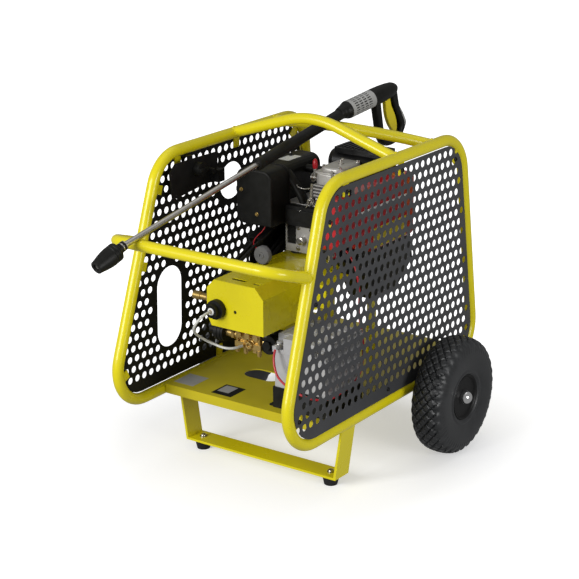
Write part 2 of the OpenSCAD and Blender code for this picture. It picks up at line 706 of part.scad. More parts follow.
module water_filter() home() color("dimgray") {
  cyl_x(-128, -100.5, 285, 352, 25);
  cyl_x(-150, -128, 285, 352, 13);
  for (k = [0 : 1]) cyl_x(-123 + 11 * k, -118 + 11 * k, 285, 352, 26.5);
}

module dosing_knob() home() color("black") difference() {
  union() {
    cyl_y(185, 199.6, knob_at[0], knob_at[1], 25);
    cyl_y(170, 185, knob_at[0], knob_at[1], 17);
    cyl_y(199, 212, knob_at[0], knob_at[1], 10.9);
  }
  cyl_y(160, 180, knob_at[0], knob_at[1], 6.5);
  cyl_y(160, 220, knob_at[0], knob_at[1], 5.05);
}

// ---- Flexible lines ----
function bend_point(p, i, t) =
  let(a = p[max(0, i - 1)], b = p[i], c = p[i + 1], d = p[min(len(p) - 1, i + 2)])
  0.5 * (2 * b + t * (c - a) + t * t * (2 * a - 5 * b + 4 * c - d) + t * t * t * (3 * b - a - 3 * c + d));
function smooth(p, n) = concat([for (i = [0 : len(p) - 2], k = [0 : n - 1]) bend_point(p, i, k / n)], [p[len(p) - 1]]);

module line_tube(p, d, across, n) {
  q = smooth(p, n);
  sides = 8;
  rings = len(q);
  ring_points = [for (i = [0 : rings - 1])
    let(t = unit(q[min(rings - 1, i + 1)] - q[max(0, i - 1)]), u = unit(cross(t, across)), v = cross(t, u))
    for (k = [0 : sides - 1]) q[i] + d / 2 * (cos(360 * k / sides) * u + sin(360 * k / sides) * v)];
  skin = [for (i = [0 : rings - 2], k = [0 : sides - 1])
    [i * sides + k, (i + 1) * sides + k, (i + 1) * sides + (k + 1) % sides, i * sides + (k + 1) % sides]];
  ends = [[for (k = [0 : sides - 1]) k], [for (k = [0 : sides - 1]) rings * sides - 1 - k]];
  polyhedron(ring_points, concat(skin, ends));
}

hose_points = [[-64, 168, 446], [-64, 154, 446], [-66, 140, 442], [-72, 129, 432], [-80, 126, 419], [-88, 131, 405],
               [-94, 144, 392], [-98, 161, 379], [-97, 179, 366], [-90, 195, 354], [-77, 205, 346], [-60, 208, 342],
               [-44, 212, 341], [-31, 223, 341], [-25, 246, 341]];
cable_points = [[92, 226, 364], [97, 212, 338], [117, 200, 304], [160, 192, 284], [208, 196, 270], [240, 224, 262],
                [246, 280, 261], [244, 370, 280], [214, 436, 330], [184, 462, 400], [180, 468, 466], [162, 474, 524],
                [132, 484, 554], [96, 486, 560]];

module detergent_hose() home() color("whitesmoke") line_tube(hose_points, 7, [0.3, 1, 0.4], 5);
module battery_holder() home() color("dimgray") difference() {
  union() {
    box([battery_x[0], battery_y[0], holder_z[0]], [battery_x[1], battery_y[1], holder_z[1]]);
    box([battery_x[0] - 14, battery_y[0] + 4, holder_z[0]], [battery_x[0], battery_y[0] + 26, holder_z[0] + 4]);
  }
  box([battery_x[0] + 3.7, battery_y[0] + 3.7, battery_z[0]], [battery_x[1] - 3.7, battery_y[1] - 3.7, holder_z[1] + 1]);
}

module battery_cable() home() color("red") line_tube(cable_points, 6, [0.2, -0.3, 1], 5);

// ---- Electrical ----
battery_x = [76, 234];
battery_y = [236, 400];
battery_z = [206, 391];
lid_z = 362;
holder_z = [203, 258];
module battery() home() color("lightgray") difference() {
  union() {
    box([battery_x[0] + 4, battery_y[0] + 4, battery_z[0]], [battery_x[1] - 4, battery_y[1] - 4, lid_z]);
    box([battery_x[0], battery_y[0], lid_z - 12], [battery_x[1], battery_y[1], battery_z[1]]);
    cyl_z(360, 378, 92, 246, 8);
    cyl_z(360, 378, 218, 246, 8);
    box([86, 221, 364], [98, 246, 372]);
  }
  difference() {
    for (x = [76, 202]) box([x - 1, battery_y[0] - 1, 360], [x + 33, 262, battery_z[1] + 1]);
    cyl_z(350, 378, 92, 246, 8);
    cyl_z(350, 378, 218, 246, 8);
    box([86, 221, 364], [98, 246, 372]);
  }
}

plate_at_x = -228;
knob_y = 336;
knob_z = 752;
module control_plate() home() color("black") difference() {
  union() {
    plate_x(plate_at_x - 3, plate_at_x, [[236, 690], [372, 704], [420, 700], [424, 778], [250, 782], [226, 762]]);
    box([-252.6, 300, 788], [plate_at_x, 320, 790.8]);
    box([plate_at_x - 3, 300, 770], [plate_at_x, 320, 790.8]);
    box([plate_at_x, 392, 706], [plate_at_x + 26, 418, 738]);
    cyl_x(plate_at_x, plate_at_x + 30, 372, 742, 7);
  }
  cyl_x(plate_at_x - 4, plate_at_x + 1, knob_y, knob_z, 6.05);
}

module control_knob() home() color("dimgray") {
  cyl_x(plate_at_x + 0.5, plate_at_x + 20, knob_y, knob_z, 18);
  cyl_x(plate_at_x - 6, plate_at_x + 2, knob_y, knob_z, 6);
  box([plate_at_x + 20, knob_y - 16, knob_z - 4], [plate_at_x + 27, knob_y + 16, knob_z + 4]);
}

// ---- Spray lance ----
rest_a = [-150, cross_y, 0];
rest_b = [-38, rear_bar_y, 0];
rear_top_z = top_at(rear_bar_y) + rear_rise;
rest_gap = 0.5;
flat_run = norm([rest_b[0] - rest_a[0], rest_b[1] - rest_a[1]]);
lance_yaw = atan2(rest_b[0] - rest_a[0], rest_b[1] - rest_a[1]);
rough_rise = rear_top_z + bar_d / 2 + grip_r - cross_z - bar_d / 2 - lance_r;
lance_pitch = atan2(rough_rise, flat_run);
start_z = cross_z + (bar_d / 2 + lance_r + rest_gap) / cos(lance_pitch);

// Lance axis along Y, with 0 over the push handle's crossbar
module lance_axis() {
  translate([rest_a[0], rest_a[1], start_z]) rotate([0, 0, -lance_yaw]) rotate([lance_pitch, 0, 0]) children();
}

gun_at = 760;
nozzle_at = -52;
grip_at = 409;
sleeve_y = [-7, 89];
nozzle_drop = 8;
trigger_at = [147, -22];
lock_at = [165.5, -84];
gun_outline = [[92, -8], [97, -116], [112, -142], [140, -150], [172, -146], [194, -127], [204, -106], [195, -82],
               [187, -54], [188, -8]];
gun_window = [[119, -22], [116, -112], [126, -128], [146, -134], [164, -129], [178, -114], [182, -102], [176, -76],
              [166, -46], [158, -22]];
trigger_outline = [[140, -20], [156, -16], [160, -42], [171, -74], [174, -102], [168, -122], [160, -122],
                   [156, -106], [151, -86], [146, -66], [142, -46]];
trigger_slot = [[150, -24], [168, -38], [184, -70], [191, -100], [186, -122], [170, -126], [150, -100]];

module gun_axis() {
  lance_axis() translate([0, gun_at, 0]) rotate([-gun_drop, 0, 0]) children();
}

module nozzle_axis() {
  lance_axis() translate([0, nozzle_at, 0]) rotate([nozzle_drop, 0, 0]) children();
}

module gun_plate(w, outline) {
  translate([-w / 2, 0, 0]) rotate([90, 0, 90]) linear_extrude(w) polygon(outline);
}

module lance_tube() home() color("silver") {
  lance_axis() cyl_y(nozzle_at, grip_at, 0, 0, lance_r);
  nozzle_axis() cyl_y(-22, 4, 0, 0, 12);
}

module spray_gun() home() color("dimgray") {
  lance_axis() cyl_y(grip_at, gun_at, 0, 0, grip_r);
  gun_axis() difference() {
    union() {
      translate([0, sleeve_y[0] - 30, 0]) rotate([-90, 0, 0]) cylinder(h = 30, r1 = 15, r2 = 22);
      cyl_y(sleeve_y[0], sleeve_y[1], 0, 0, 22.5);
      translate([0, sleeve_y[1], 0]) rotate([-90, 0, 0]) cylinder(h = 172 - sleeve_y[1], r1 = 22, r2 = 17);
      translate([0, 172, 0]) sphere(r = 17);
      gun_plate(28, rounded(gun_outline, 8, 3));
    }
    gun_plate(40, rounded(gun_window, 5, 3));
    gun_plate(14.6, trigger_slot);
    translate([-7, 130, -30]) cube([14, 40, 20]);
  }
  gun_axis() cyl_x(-13, 13, trigger_at[0], trigger_at[1], 2);
}

module gun_trigger() home() color("yellow") gun_axis() difference() {
  union() {
    translate([-6.6, trigger_at[0], trigger_at[1]]) rotate([0, 90, 0]) cylinder(h = 13.2, r = 6);
    gun_plate(13, trigger_outline);
  }
  translate([-8, trigger_at[0], trigger_at[1]]) rotate([0, 90, 0]) cylinder(h = 16, r = 2.05);
  translate([-3.05, 161, -106]) cube([6.1, 20, 32]);
}

module trigger_lock() home() color("gray") gun_axis() {
  translate([-2.8, lock_at[0], lock_at[1]]) rotate([0, 90, 0]) cylinder(h = 5.6, r = 2.4);
  gun_plate(5.6, [[163.1, -83], [167.9, -83], [166, -98], [163.1, -98]]);
}

module rotor_nozzle() home() color("black") nozzle_axis() difference() {
  union() {
    translate([0, -24, 0]) rotate([90, 0, 0]) cylinder(h = 36, r1 = 24, r2 = 22);
    translate([0, -60, 0]) rotate([90, 0, 0]) cylinder(h = 34, r1 = 22, r2 = 14);
  }
  cyl_y(-95, -88, 0, 0, 7);
}

side_frame_left();
side_frame_right();
push_handle();
top_bars();
bottom_tray();
engine_platform();
front_stand();
rubber_feet();
side_panel_left();
side_panel_right();
frame_screws();
axle();
tyre_left();
tyre_right();
rim_left();
rim_right();
hub_caps();
engine_crankcase();
engine_mounts();
crankshaft();
flywheel();
engine_pulley();
cylinder_block();
piston_and_rod();
cylinder_head();
rocker_cover();
engine_cowl();
fan_housing();
air_cleaner_body();
air_cleaner_cover();
muffler();
fuel_tank();
fuel_cap();
fuel_tap();
speed_lever();
decompression_lever();
oil_dipstick();
starter_motor();
drive_belts();
belt_guard();
pump_cover();
pump_crankcase();
pump_shaft();
plungers();
pump_head();
unloader_valve();
outlet_pipe();
water_filter();
dosing_knob();
detergent_hose();
battery();
battery_holder();
battery_cable();
control_plate();
control_knob();
lance_tube();
spray_gun();
rotor_nozzle();
gun_trigger();
trigger_lock();
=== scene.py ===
import json
import math
import bmesh
import bpy
from mathutils import Matrix, Vector


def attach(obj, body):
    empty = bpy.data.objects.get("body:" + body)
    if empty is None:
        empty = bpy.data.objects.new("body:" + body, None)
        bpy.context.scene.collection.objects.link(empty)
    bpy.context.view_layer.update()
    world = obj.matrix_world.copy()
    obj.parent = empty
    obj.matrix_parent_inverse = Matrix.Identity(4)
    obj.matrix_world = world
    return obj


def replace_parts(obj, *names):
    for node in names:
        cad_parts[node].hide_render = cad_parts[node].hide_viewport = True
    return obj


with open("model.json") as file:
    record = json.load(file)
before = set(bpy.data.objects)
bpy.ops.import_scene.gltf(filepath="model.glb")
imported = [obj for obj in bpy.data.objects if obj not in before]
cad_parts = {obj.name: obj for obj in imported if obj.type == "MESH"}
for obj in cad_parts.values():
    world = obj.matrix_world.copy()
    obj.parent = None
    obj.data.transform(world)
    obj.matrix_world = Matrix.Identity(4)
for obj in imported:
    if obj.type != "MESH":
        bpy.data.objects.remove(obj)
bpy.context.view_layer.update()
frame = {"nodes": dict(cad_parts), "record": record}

NODES = frame["nodes"]
MM = 0.001

# ---------------------------------------------------------------- camera

CAMERA_AT = (2.5607, -3.6065, 1.9291)
CAMERA_AZIMUTH = math.radians(35.33)
CAMERA_ELEVATION = math.radians(18.50)
CAMERA_ROLL = math.radians(-0.40)
CAMERA_SENSOR = 36
CAMERA_LENS = 113.47


def make_camera():
    """A long lens looking down on the front right corner, rolled by a fraction of a degree."""
    back = Vector((
        math.sin(CAMERA_AZIMUTH) * math.cos(CAMERA_ELEVATION),
        -math.cos(CAMERA_AZIMUTH) * math.cos(CAMERA_ELEVATION),
        math.sin(CAMERA_ELEVATION),
    ))
    right = (-back).cross(Vector((0, 0, 1))).normalized()
    up = right.cross(-back)
    turned_right = math.cos(CAMERA_ROLL) * right + math.sin(CAMERA_ROLL) * up
    turned_up = math.cos(CAMERA_ROLL) * up - math.sin(CAMERA_ROLL) * right
    data = bpy.data.cameras.new("camera")
    data.sensor_width = CAMERA_SENSOR
    data.lens = CAMERA_LENS
    data.clip_end = 60
    camera = bpy.data.objects.new("camera", data)
    bpy.context.scene.collection.objects.link(camera)
    facing = Matrix((turned_right, turned_up, back)).transposed().to_4x4()
    camera.matrix_world = Matrix.Translation(CAMERA_AT) @ facing
    bpy.context.scene.camera = camera


make_camera()


# ---------------------------------------------------------------- materials

class Nodes:
    """A small helper round one material's node tree."""

    def __init__(self, name):
        self.material = bpy.data.materials.new(name)
        self.material.use_nodes = True
        self.tree = self.material.node_tree
        self.shader = self.tree.nodes["Principled BSDF"]

    def new(self, kind, **settings):
        node = self.tree.nodes.new(kind)
        for key, value in settings.items():
            setattr(node, key, value)
        return node

    def link(self, source, target):
        self.tree.links.new(source, target)

    def place(self):
        """The point's own position on the piece, in metres."""
        return self.new("ShaderNodeTexCoord").outputs["Object"]

    def noise(self, scale, detail=4, rough=0.5):
        node = self.new("ShaderNodeTexNoise")
        node.inputs["Scale"].default_value = scale
        node.inputs["Detail"].default_value = detail
        node.inputs["Roughness"].default_value = rough
        self.link(self.place(), node.inputs["Vector"])
        return node.outputs["Fac"]

    def spread(self, value, low, high, out_low, out_high):
        """Maps value from low..high to out_low..out_high."""
        node = self.new("ShaderNodeMapRange")
        node.inputs["From Min"].default_value = low
        node.inputs["From Max"].default_value = high
        node.inputs["To Min"].default_value = out_low
        node.inputs["To Max"].default_value = out_high
        self.link(value, node.inputs["Value"])
        return node.outputs["Result"]

    def mix(self, factor, first, second):
        """Blends two colours by a socket."""
        node = self.new("ShaderNodeMix", data_type="RGBA")
        self.link(factor, node.inputs[0])
        node.inputs[6].default_value = (*first, 1)
        node.inputs[7].default_value = (*second, 1)
        return node.outputs[2]

    def bump(self, height, strength, distance):
        node = self.new("ShaderNodeBump")
        node.inputs["Strength"].default_value = strength
        node.inputs["Distance"].default_value = distance
        self.link(height, node.inputs["Height"])
        self.link(node.outputs["Normal"], self.shader.inputs["Normal"])


def surface(name, colour, second, rough=(0.35, 0.45), metallic=0.0, grain=60, bump=0.05,
            bump_scale=900, bump_depth=0.0002, coat=0.0, specular=0.5):
    """A procedural material: two close colours in patches, uneven roughness and a fine bump."""
    n = Nodes(name)
    patches = n.noise(grain, 5, 0.6)
    n.link(n.mix(n.spread(patches, 0.35, 0.7, 0, 1), colour, second), n.shader.inputs["Base Color"])
    n.link(n.spread(patches, 0.3, 0.7, rough[0], rough[1]), n.shader.inputs["Roughness"])
    n.shader.inputs["Metallic"].default_value = metallic
    n.shader.inputs["Coat Weight"].default_value = coat
    n.shader.inputs["Coat Roughness"].default_value = 0.12
    n.shader.inputs["Specular IOR Level"].default_value = specular
    n.bump(n.noise(bump_scale, 3, 0.6), bump, bump_depth)
    return n.material


# ---------------------------------------------------------------- placing

HOME_Y = -411.569
LEAN = math.radians(1.2)
LEAN_PIVOT = 428
HALF_WIDTH = 257
TO_FRONT = Matrix(((1, 0, 0, 0), (0, 0, -1, 0), (0, 1, 0, 0), (0, 0, 0, 1)))
TO_REAR = Matrix(((-1, 0, 0, 0), (0, 0, 1, 0), (0, 1, 0, 0), (0, 0, 0, 1)))
TO_RIGHT = Matrix(((0, 0, 1, 0), (1, 0, 0, 0), (0, 1, 0, 0), (0, 0, 0, 1)))
TO_LEFT = Matrix(((0, 0, -1, 0), (-1, 0, 0, 0), (0, 1, 0, 0), (0, 0, 0, 1)))
UP = Matrix()
DOWN = Matrix.Rotation(math.pi, 4, "X")


def spot(turn, x, y, z):
    """A place whose own Z points along turn. Lengths are the cage's, in millimetres."""
    return Matrix.Translation((x, y, z)) @ turn


def metres(point):
    """A cage point in millimetres, as a point of the whole machine in metres."""
    return (Vector(point) + Vector((0, HOME_Y, 0))) * MM


def side_place(side):
    """A side frame's leaning plane: X to the rear, Y up, Z outward."""
    sin, cos = math.sin(LEAN), math.cos(LEAN)
    return Matrix((
        (0, -side * sin, side * cos, side * (HALF_WIDTH + LEAN_PIVOT * sin)),
        (1, 0, 0, 0),
        (0, cos, sin, LEAN_PIVOT - LEAN_PIVOT * cos),
        (0, 0, 0, 1),
    ))


def turned(degrees, axis):
    return Matrix.Rotation(math.radians(degrees), 4, axis)


LANCE = spot(UP, -150, 10.064634, 666.971346) @ turned(-9.220622, "Z") @ turned(14.215941, "X")
GUN = LANCE @ spot(turned(-5, "X"), 0, 760, 0)
NOZZLE = LANCE @ spot(turned(8, "X"), 0, -52, 0)
GUN_SIDE = GUN @ TO_RIGHT


# ---------------------------------------------------------------- shapes

def circle(radius, steps):
    turns = [2 * math.pi * k / steps for k in range(steps)]
    return [(radius * math.cos(turn), radius * math.sin(turn)) for turn in turns]


def arc(centre, radius, start, end, steps=8):
    """An arc's points between two angles in degrees."""
    turns = [math.radians(start + (end - start) * k / steps) for k in range(steps + 1)]
    return [(centre[0] + radius * math.cos(t), centre[1] + radius * math.sin(t)) for t in turns]


def rounded_box(low, high, radius, steps=6):
    left, bottom = low[0] + radius, low[1] + radius
    right, top = high[0] - radius, high[1] - radius
    corners = ((right, bottom, -90), (right, top, 0), (left, top, 90), (left, bottom, 180))
    return [p for x, y, start in corners for p in arc((x, y), radius, start, start + 90, steps)]


class Shape:
    """One piece's mesh, gathered in millimetres from lathed, extruded and swept parts."""

    def __init__(self):
        self.mesh = bmesh.new()

    def add(self, place, points, faces):
        verts = [self.mesh.verts.new(place @ Vector(p)) for p in points]
        for face in faces:
            self.mesh.faces.new([verts[i] for i in face])
        return self

    def rings(self, place, rings, closed=False):
        """A skin over rings of equal length, with flat ends unless closed on itself."""
        n = len(rings[0])
        count = len(rings)
        faces = []
        for i in range(count if closed else count - 1):
            a, b = i * n, (i + 1) % count * n
            faces += [(a + k, a + (k + 1) % n, b + (k + 1) % n, b + k) for k in range(n)]
        if not closed:
            faces += [tuple(range(n))[::-1], tuple(range((count - 1) * n, count * n))]
        return self.add(place, [p for ring in rings for p in ring], faces)

    def lathe(self, place, profile, steps=40):
        """profile is (radius, height) up the place's Z; a zero radius is kept as a tiny flat."""
        rings = []
        for radius, height in profile:
            rings.append([(x, y, height) for x, y in circle(max(radius, 0.05), steps)])
        return self.rings(place, rings)

    def prism(self, place, outline, low, high):
        """An outline in the place's X and Y, carried from low to high up its Z."""
        return self.rings(place, [[(x, y, low) for x, y in outline],
                                  [(x, y, high) for x, y in outline]])

    def box(self, low, high, place=UP):
        outline = [(low[0], low[1]), (high[0], low[1]), (high[0], high[1]), (low[0], high[1])]
        return self.prism(place, outline, low[2], high[2])

    def hexagon(self, place, radius, low, high):
        return self.prism(place, circle(radius, 6), low, high)

    def sweep(self, place, path, sizes, across, sides=12, square=1.0, closed=False):
        """A rounded section of half sizes (along across, beside it) carried along path."""
        across = Vector(across).normalized()
        path = [Vector(p) for p in path]
        count = len(path)
        rings = []
        for i, point in enumerate(path):
            if closed:
                heading = path[(i + 1) % count] - path[i - 1]
            else:
                heading = path[min(i + 1, count - 1)] - path[max(i - 1, 0)]
            first = (across - heading.normalized() * across.dot(heading.normalized())).normalized()
            second = heading.normalized().cross(first)
            wide, deep = sizes[i] if isinstance(sizes, list) else sizes
            ring = []
            for k in range(sides):
                turn = 2 * math.pi * k / sides
                c, s = math.cos(turn), math.sin(turn)
                ring.append(point + first * wide * math.copysign(abs(c) ** square, c)
                            + second * deep * math.copysign(abs(s) ** square, s))
            rings.append(ring)
        return self.rings(place, rings, closed)

    def make(self, name, look, body="frame", slot=None, bevel=0.0, segments=2, sharp=35):
        """The finished piece: scaled to metres, smooth except at sharp edges, riding on its body."""
        bmesh.ops.recalc_face_normals(self.mesh, faces=self.mesh.faces)
        for vert in self.mesh.verts:
            vert.co = metres(vert.co)
        mesh = bpy.data.meshes.new(name)
        self.mesh.to_mesh(mesh)
        self.mesh.free()
        mesh.shade_smooth()
        mesh.set_sharp_from_angle(angle=math.radians(sharp))
        mesh.materials.append(look)
        piece = bpy.data.objects.new(name, mesh)
        bpy.context.scene.collection.objects.link(piece)
        if bevel:
            soften(piece, bevel, segments, sharp)
        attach(piece, body)
        return piece


def soften(piece, width, segments=2, sharp=35):
    """Rounds a piece's sharp edges by width millimetres."""
    bevel = piece.modifiers.new("edges", "BEVEL")
    bevel.width = width * MM
    bevel.segments = segments
    bevel.limit_method = "ANGLE"
    bevel.angle_limit = math.radians(sharp)
    bevel.harden_normals = True


def carve(piece, cutter):
    """Cuts the cutter's shape out of a piece, and leaves the result in its mesh."""
    tool = cutter.make("cutter", piece.data.materials[0])
    cut = piece.modifiers.new("cut", "BOOLEAN")
    cut.object = tool
    result = bpy.data.meshes.new_from_object(piece.evaluated_get(bpy.context.evaluated_depsgraph_get()))
    piece.modifiers.clear()
    piece.data = result
    bpy.data.objects.remove(tool)


def flow(points, steps):
    """A smooth line through the points, with steps parts between neighbours."""
    points = [Vector(p) for p in points]
    last = len(points) - 1
    line = []
    for i in range(last):
        a, b, c, d = points[max(0, i - 1)], points[i], points[i + 1], points[min(last, i + 2)]
        for k in range(steps):
            t = k / steps
            line.append(0.5 * (2 * b + t * (c - a) + t * t * (2 * a - 5 * b + 4 * c - d)
                               + t ** 3 * (3 * b - a - 3 * c + d)))
    return line + [points[last]]


def spring_line(place, radius, pitch, turns, steps=14):
    """The middle line of a coil spring's wire."""
    line = []
    for k in range(turns * steps + 1):
        turn = 2 * math.pi * k / steps
        line.append(place @ Vector((radius * math.cos(turn), radius * math.sin(turn),
                                    pitch * k / steps)))
    return line


# ---------------------------------------------------------------- cords

def cord(name, points, diameter, look, node=None):
    """A flexible line along the same smooth route as its CAD solid."""
    path = [metres(p) for p in flow(points, 5)]
    data = bpy.data.curves.new(name, "CURVE")
    data.dimensions = "3D"
    data.bevel_depth = diameter * MM / 2
    data.bevel_resolution = 3
    data.use_fill_caps = True
    spline = data.splines.new("POLY")
    spline.points.add(len(path) - 1)
    for point, place in zip(spline.points, path):
        point.co = (*place, 1)
    data.materials.append(look)
    piece = bpy.data.objects.new(name, data)
    bpy.context.scene.collection.objects.link(piece)
    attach(piece, "frame")
    if node:
        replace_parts(piece, node)
    return piece


HOSE_ROUTE = [(-64, 168, 446), (-64, 154, 446), (-66, 140, 442), (-72, 129, 432), (-80, 126, 419),
              (-88, 131, 405), (-94, 144, 392), (-98, 161, 379), (-97, 179, 366), (-90, 195, 354),
              (-77, 205, 346), (-60, 208, 342), (-44, 212, 341), (-31, 223, 341), (-25, 246, 341)]
CABLE_ROUTE = [(92, 226, 364), (97, 212, 338), (117, 200, 304), (160, 192, 284), (208, 196, 270),
               (240, 224, 262), (246, 280, 261), (244, 370, 280), (214, 436, 330), (184, 462, 400),
               (180, 468, 466), (162, 474, 524), (132, 484, 554), (96, 486, 560)]

RED_LEAD_ROUTE = [(-112, 472, 587), (-117, 464, 573), (-127, 454, 560), (-130, 443, 548),
                  (-122, 434, 538), (-104, 430, 534)]
BLACK_LEAD_ROUTE = [(-156, 478, 587), (-158, 468, 571), (-154, 454, 556), (-142, 442, 546),
                    (-126, 434, 536), (-106, 430, 528)]

CLEAR_HOSE = surface("clear_hose", (0.62, 0.62, 0.58), (0.52, 0.52, 0.48), rough=(0.18, 0.26),
                     grain=120, bump=0.04, bump_scale=800)
RED_PLASTIC = surface("red_plastic", (0.50, 0.012, 0.022), (0.42, 0.010, 0.018), rough=(0.28, 0.36),
                      grain=40)
LEAD_BLACK = surface("lead_insulation", (0.012, 0.012, 0.012), (0.020, 0.020, 0.020), rough=(0.4, 0.5),
                     bump=0.1)
cord("detergent_line", HOSE_ROUTE, 7, CLEAR_HOSE, "detergent_hose")
cord("battery_lead", CABLE_ROUTE, 6, RED_PLASTIC, "battery_cable")
cord("switch_lead_red", RED_LEAD_ROUTE, 3, RED_PLASTIC)
cord("switch_lead_black", BLACK_LEAD_ROUTE, 3, LEAD_BLACK)


# ---------------------------------------------------------------- looks

YELLOW = surface("yellow_paint", (0.74, 0.64, 0.008), (0.70, 0.60, 0.007), rough=(0.22, 0.32), grain=9,
                 bump_scale=420, bump_depth=0.0003, coat=0.12, specular=0.4)
# The tray's own yellow paint, darkened as painted shade for the shadow the machine casts into the tray.
TRAY_YELLOW_PAINTED_SHADE = surface("tray_yellow_painted_shade", (0.60, 0.50, 0.008), (0.54, 0.45, 0.007), rough=(0.30, 0.40),
                      grain=9, bump=0.06, bump_scale=420)
RIM_BLACK = surface("rim_black", (0.004, 0.004, 0.004), (0.007, 0.007, 0.007), rough=(0.45, 0.55),
                    grain=30, bump=0.10, specular=0.25)
# The far side panel is the same anthracite paint as the near one, darkened to near black as painted
# shade on its inner face.
FAR_PANEL_PAINTED_SHADE = surface("black_paint", (0.006, 0.006, 0.006), (0.009, 0.009, 0.009), rough=(0.5, 0.62),
                    grain=14, bump=0.10, specular=0.2)
NEAR_PANEL = surface("anthracite_paint", (0.055, 0.056, 0.060), (0.046, 0.047, 0.050),
                     rough=(0.42, 0.54), grain=14, bump=0.10, specular=0.35)
BLACK_PLASTIC = surface("black_plastic", (0.006, 0.006, 0.005), (0.010, 0.010, 0.009),
                        rough=(0.38, 0.52), grain=50, bump=0.25, bump_scale=1400, specular=0.22)
GREY_PLASTIC = surface("grey_plastic", (0.46, 0.46, 0.46), (0.40, 0.40, 0.40), grain=40, bump=0.10,
                       bump_scale=1200)
DISC_GREY = surface("disc_plastic", (0.17, 0.17, 0.17), (0.13, 0.13, 0.13), rough=(0.4, 0.5), grain=40,
                    bump=0.10, bump_scale=1200)
SLEEVE_GREY = surface("sleeve_plastic", (0.38, 0.38, 0.37), (0.33, 0.33, 0.32), grain=40, bump=0.10,
                      bump_scale=1200)
WHITE_PLASTIC = surface("white_plastic", (0.78, 0.79, 0.78), (0.72, 0.73, 0.72), rough=(0.22, 0.3),
                        grain=40)
YELLOW_PLASTIC = surface("yellow_plastic", (0.80, 0.66, 0.008), (0.74, 0.60, 0.008), rough=(0.28, 0.38),
                         grain=30, bump=0.08, bump_scale=1200)
RED_PAINT = surface("red_paint", (0.52, 0.014, 0.020), (0.44, 0.010, 0.014), rough=(0.16, 0.26),
                    grain=12, bump_scale=420, bump_depth=0.0003, coat=0.5)
RUBBER = surface("rubber", (0.010, 0.010, 0.010), (0.016, 0.016, 0.016), rough=(0.60, 0.75), bump=0.3,
                 bump_scale=1100, specular=0.3)
TYRE = surface("tyre", (0.013, 0.014, 0.015), (0.026, 0.027, 0.029), rough=(0.34, 0.54), grain=30,
               bump=0.35, bump_scale=1300)
STEEL = surface("steel", (0.56, 0.54, 0.50), (0.46, 0.44, 0.41), rough=(0.20, 0.34), metallic=1,
                grain=120, bump=0.10, bump_scale=1500)
ALUMINIUM = surface("cast_aluminium", (0.60, 0.585, 0.555), (0.48, 0.47, 0.45), rough=(0.34, 0.50),
                    metallic=0.55, grain=80, bump=0.40, bump_scale=1300)
CHROME = surface("chrome", (0.80, 0.80, 0.80), (0.74, 0.74, 0.74), rough=(0.05, 0.12), metallic=1,
                 grain=40, bump=0.02, bump_scale=700)
BRASS = surface("brass", (0.66, 0.47, 0.17), (0.46, 0.31, 0.10), rough=(0.24, 0.40), metallic=0.85,
                grain=90, bump=0.15, bump_scale=1200)
IRON = surface("cast_iron", (0.10, 0.10, 0.10), (0.07, 0.07, 0.07), rough=(0.5, 0.65), metallic=1,
               grain=80, bump=0.4)
BLACK_METAL = surface("black_metal", (0.006, 0.006, 0.006), (0.010, 0.010, 0.010), rough=(0.30, 0.45),
                      grain=40, bump=0.12, bump_scale=1100, specular=0.3)
SILVER_LABEL = surface("label_silver", (0.50, 0.50, 0.48), (0.42, 0.42, 0.40), rough=(0.32, 0.42),
                       metallic=0.2, grain=30, bump=0.03, bump_scale=800)
YELLOW_LABEL = surface("label_yellow", (0.66, 0.52, 0.012), (0.58, 0.46, 0.010), grain=24, bump=0.03,
                       bump_scale=800)

SLOT_LOOKS = {
    "yellow_paint": YELLOW,
    "anthracite_paint": NEAR_PANEL,
    "black_paint": BLACK_METAL,
    "black_plastic": BLACK_PLASTIC,
    "grey_plastic": GREY_PLASTIC,
    "white_plastic": WHITE_PLASTIC,
    "yellow_plastic": YELLOW_PLASTIC,
    "red_plastic": RED_PLASTIC,
    "red_paint": RED_PAINT,
    "rubber_black": RUBBER,
    "tyre_black": TYRE,
    "steel": STEEL,
    "cast_aluminium": ALUMINIUM,
    "chrome": CHROME,
    "brass": BRASS,
    "cast_iron": IRON,
}
# Special looks replace a node's slot material; the tray's and the far side panel's are darkened copies
# of their paint, as painted shade.
SPECIAL_LOOKS = {"side_panel_left": FAR_PANEL_PAINTED_SHADE, "bottom_tray": TRAY_YELLOW_PAINTED_SHADE, "oil_dipstick": ALUMINIUM,
                 "rim_left": RIM_BLACK, "rim_right": RIM_BLACK}


SOFT_EDGES = {"bottom_tray": 1.2, "front_stand": 1.2, "pump_cover": 1.2, "engine_platform": 1.0,
              "engine_crankcase": 3.0, "engine_cowl": 2.5, "battery": 2.0, "battery_holder": 1.5,
              "fan_housing": 2.0}


def dress_nodes():
    """Every CAD node takes its slot's material or a special look, the tray and the far side panel a
    darkened copy of their paint as painted shade, and some get softened edges.
    """
    for part in frame["record"]["subparts"]:
        node = NODES[part["node"]]
        node.data.materials.clear()
        node.data.materials.append(SPECIAL_LOOKS.get(part["node"], SLOT_LOOKS[part["material_slot"]]))
    for name, width in SOFT_EDGES.items():
        soften(NODES[name], width)


dress_nodes()


# ---------------------------------------------------------------- wheels

AXLE = (664, 156)
TRACK = 345
TYRE_STEPS = 476
LUG_ROWS = 34
LUG_WIDTH = 23.0
TREAD_HALF = 37.5
GROOVE_DEPTH = 5.4
NOTCH_DEPTH = 4.6
RIB_DEPTH = 1.6
TYRE_SECTION = [(58, -36), (62, -38.5), (66, -41.5), (70, -42), (74, -40.8), (84, -43), (100, -45.2),
                (116, -46), (130, -44.6), (139, -41.5), (145.5, -37), (150, -31), (153, -23),
                (154.6, -14), (155.3, -5)]


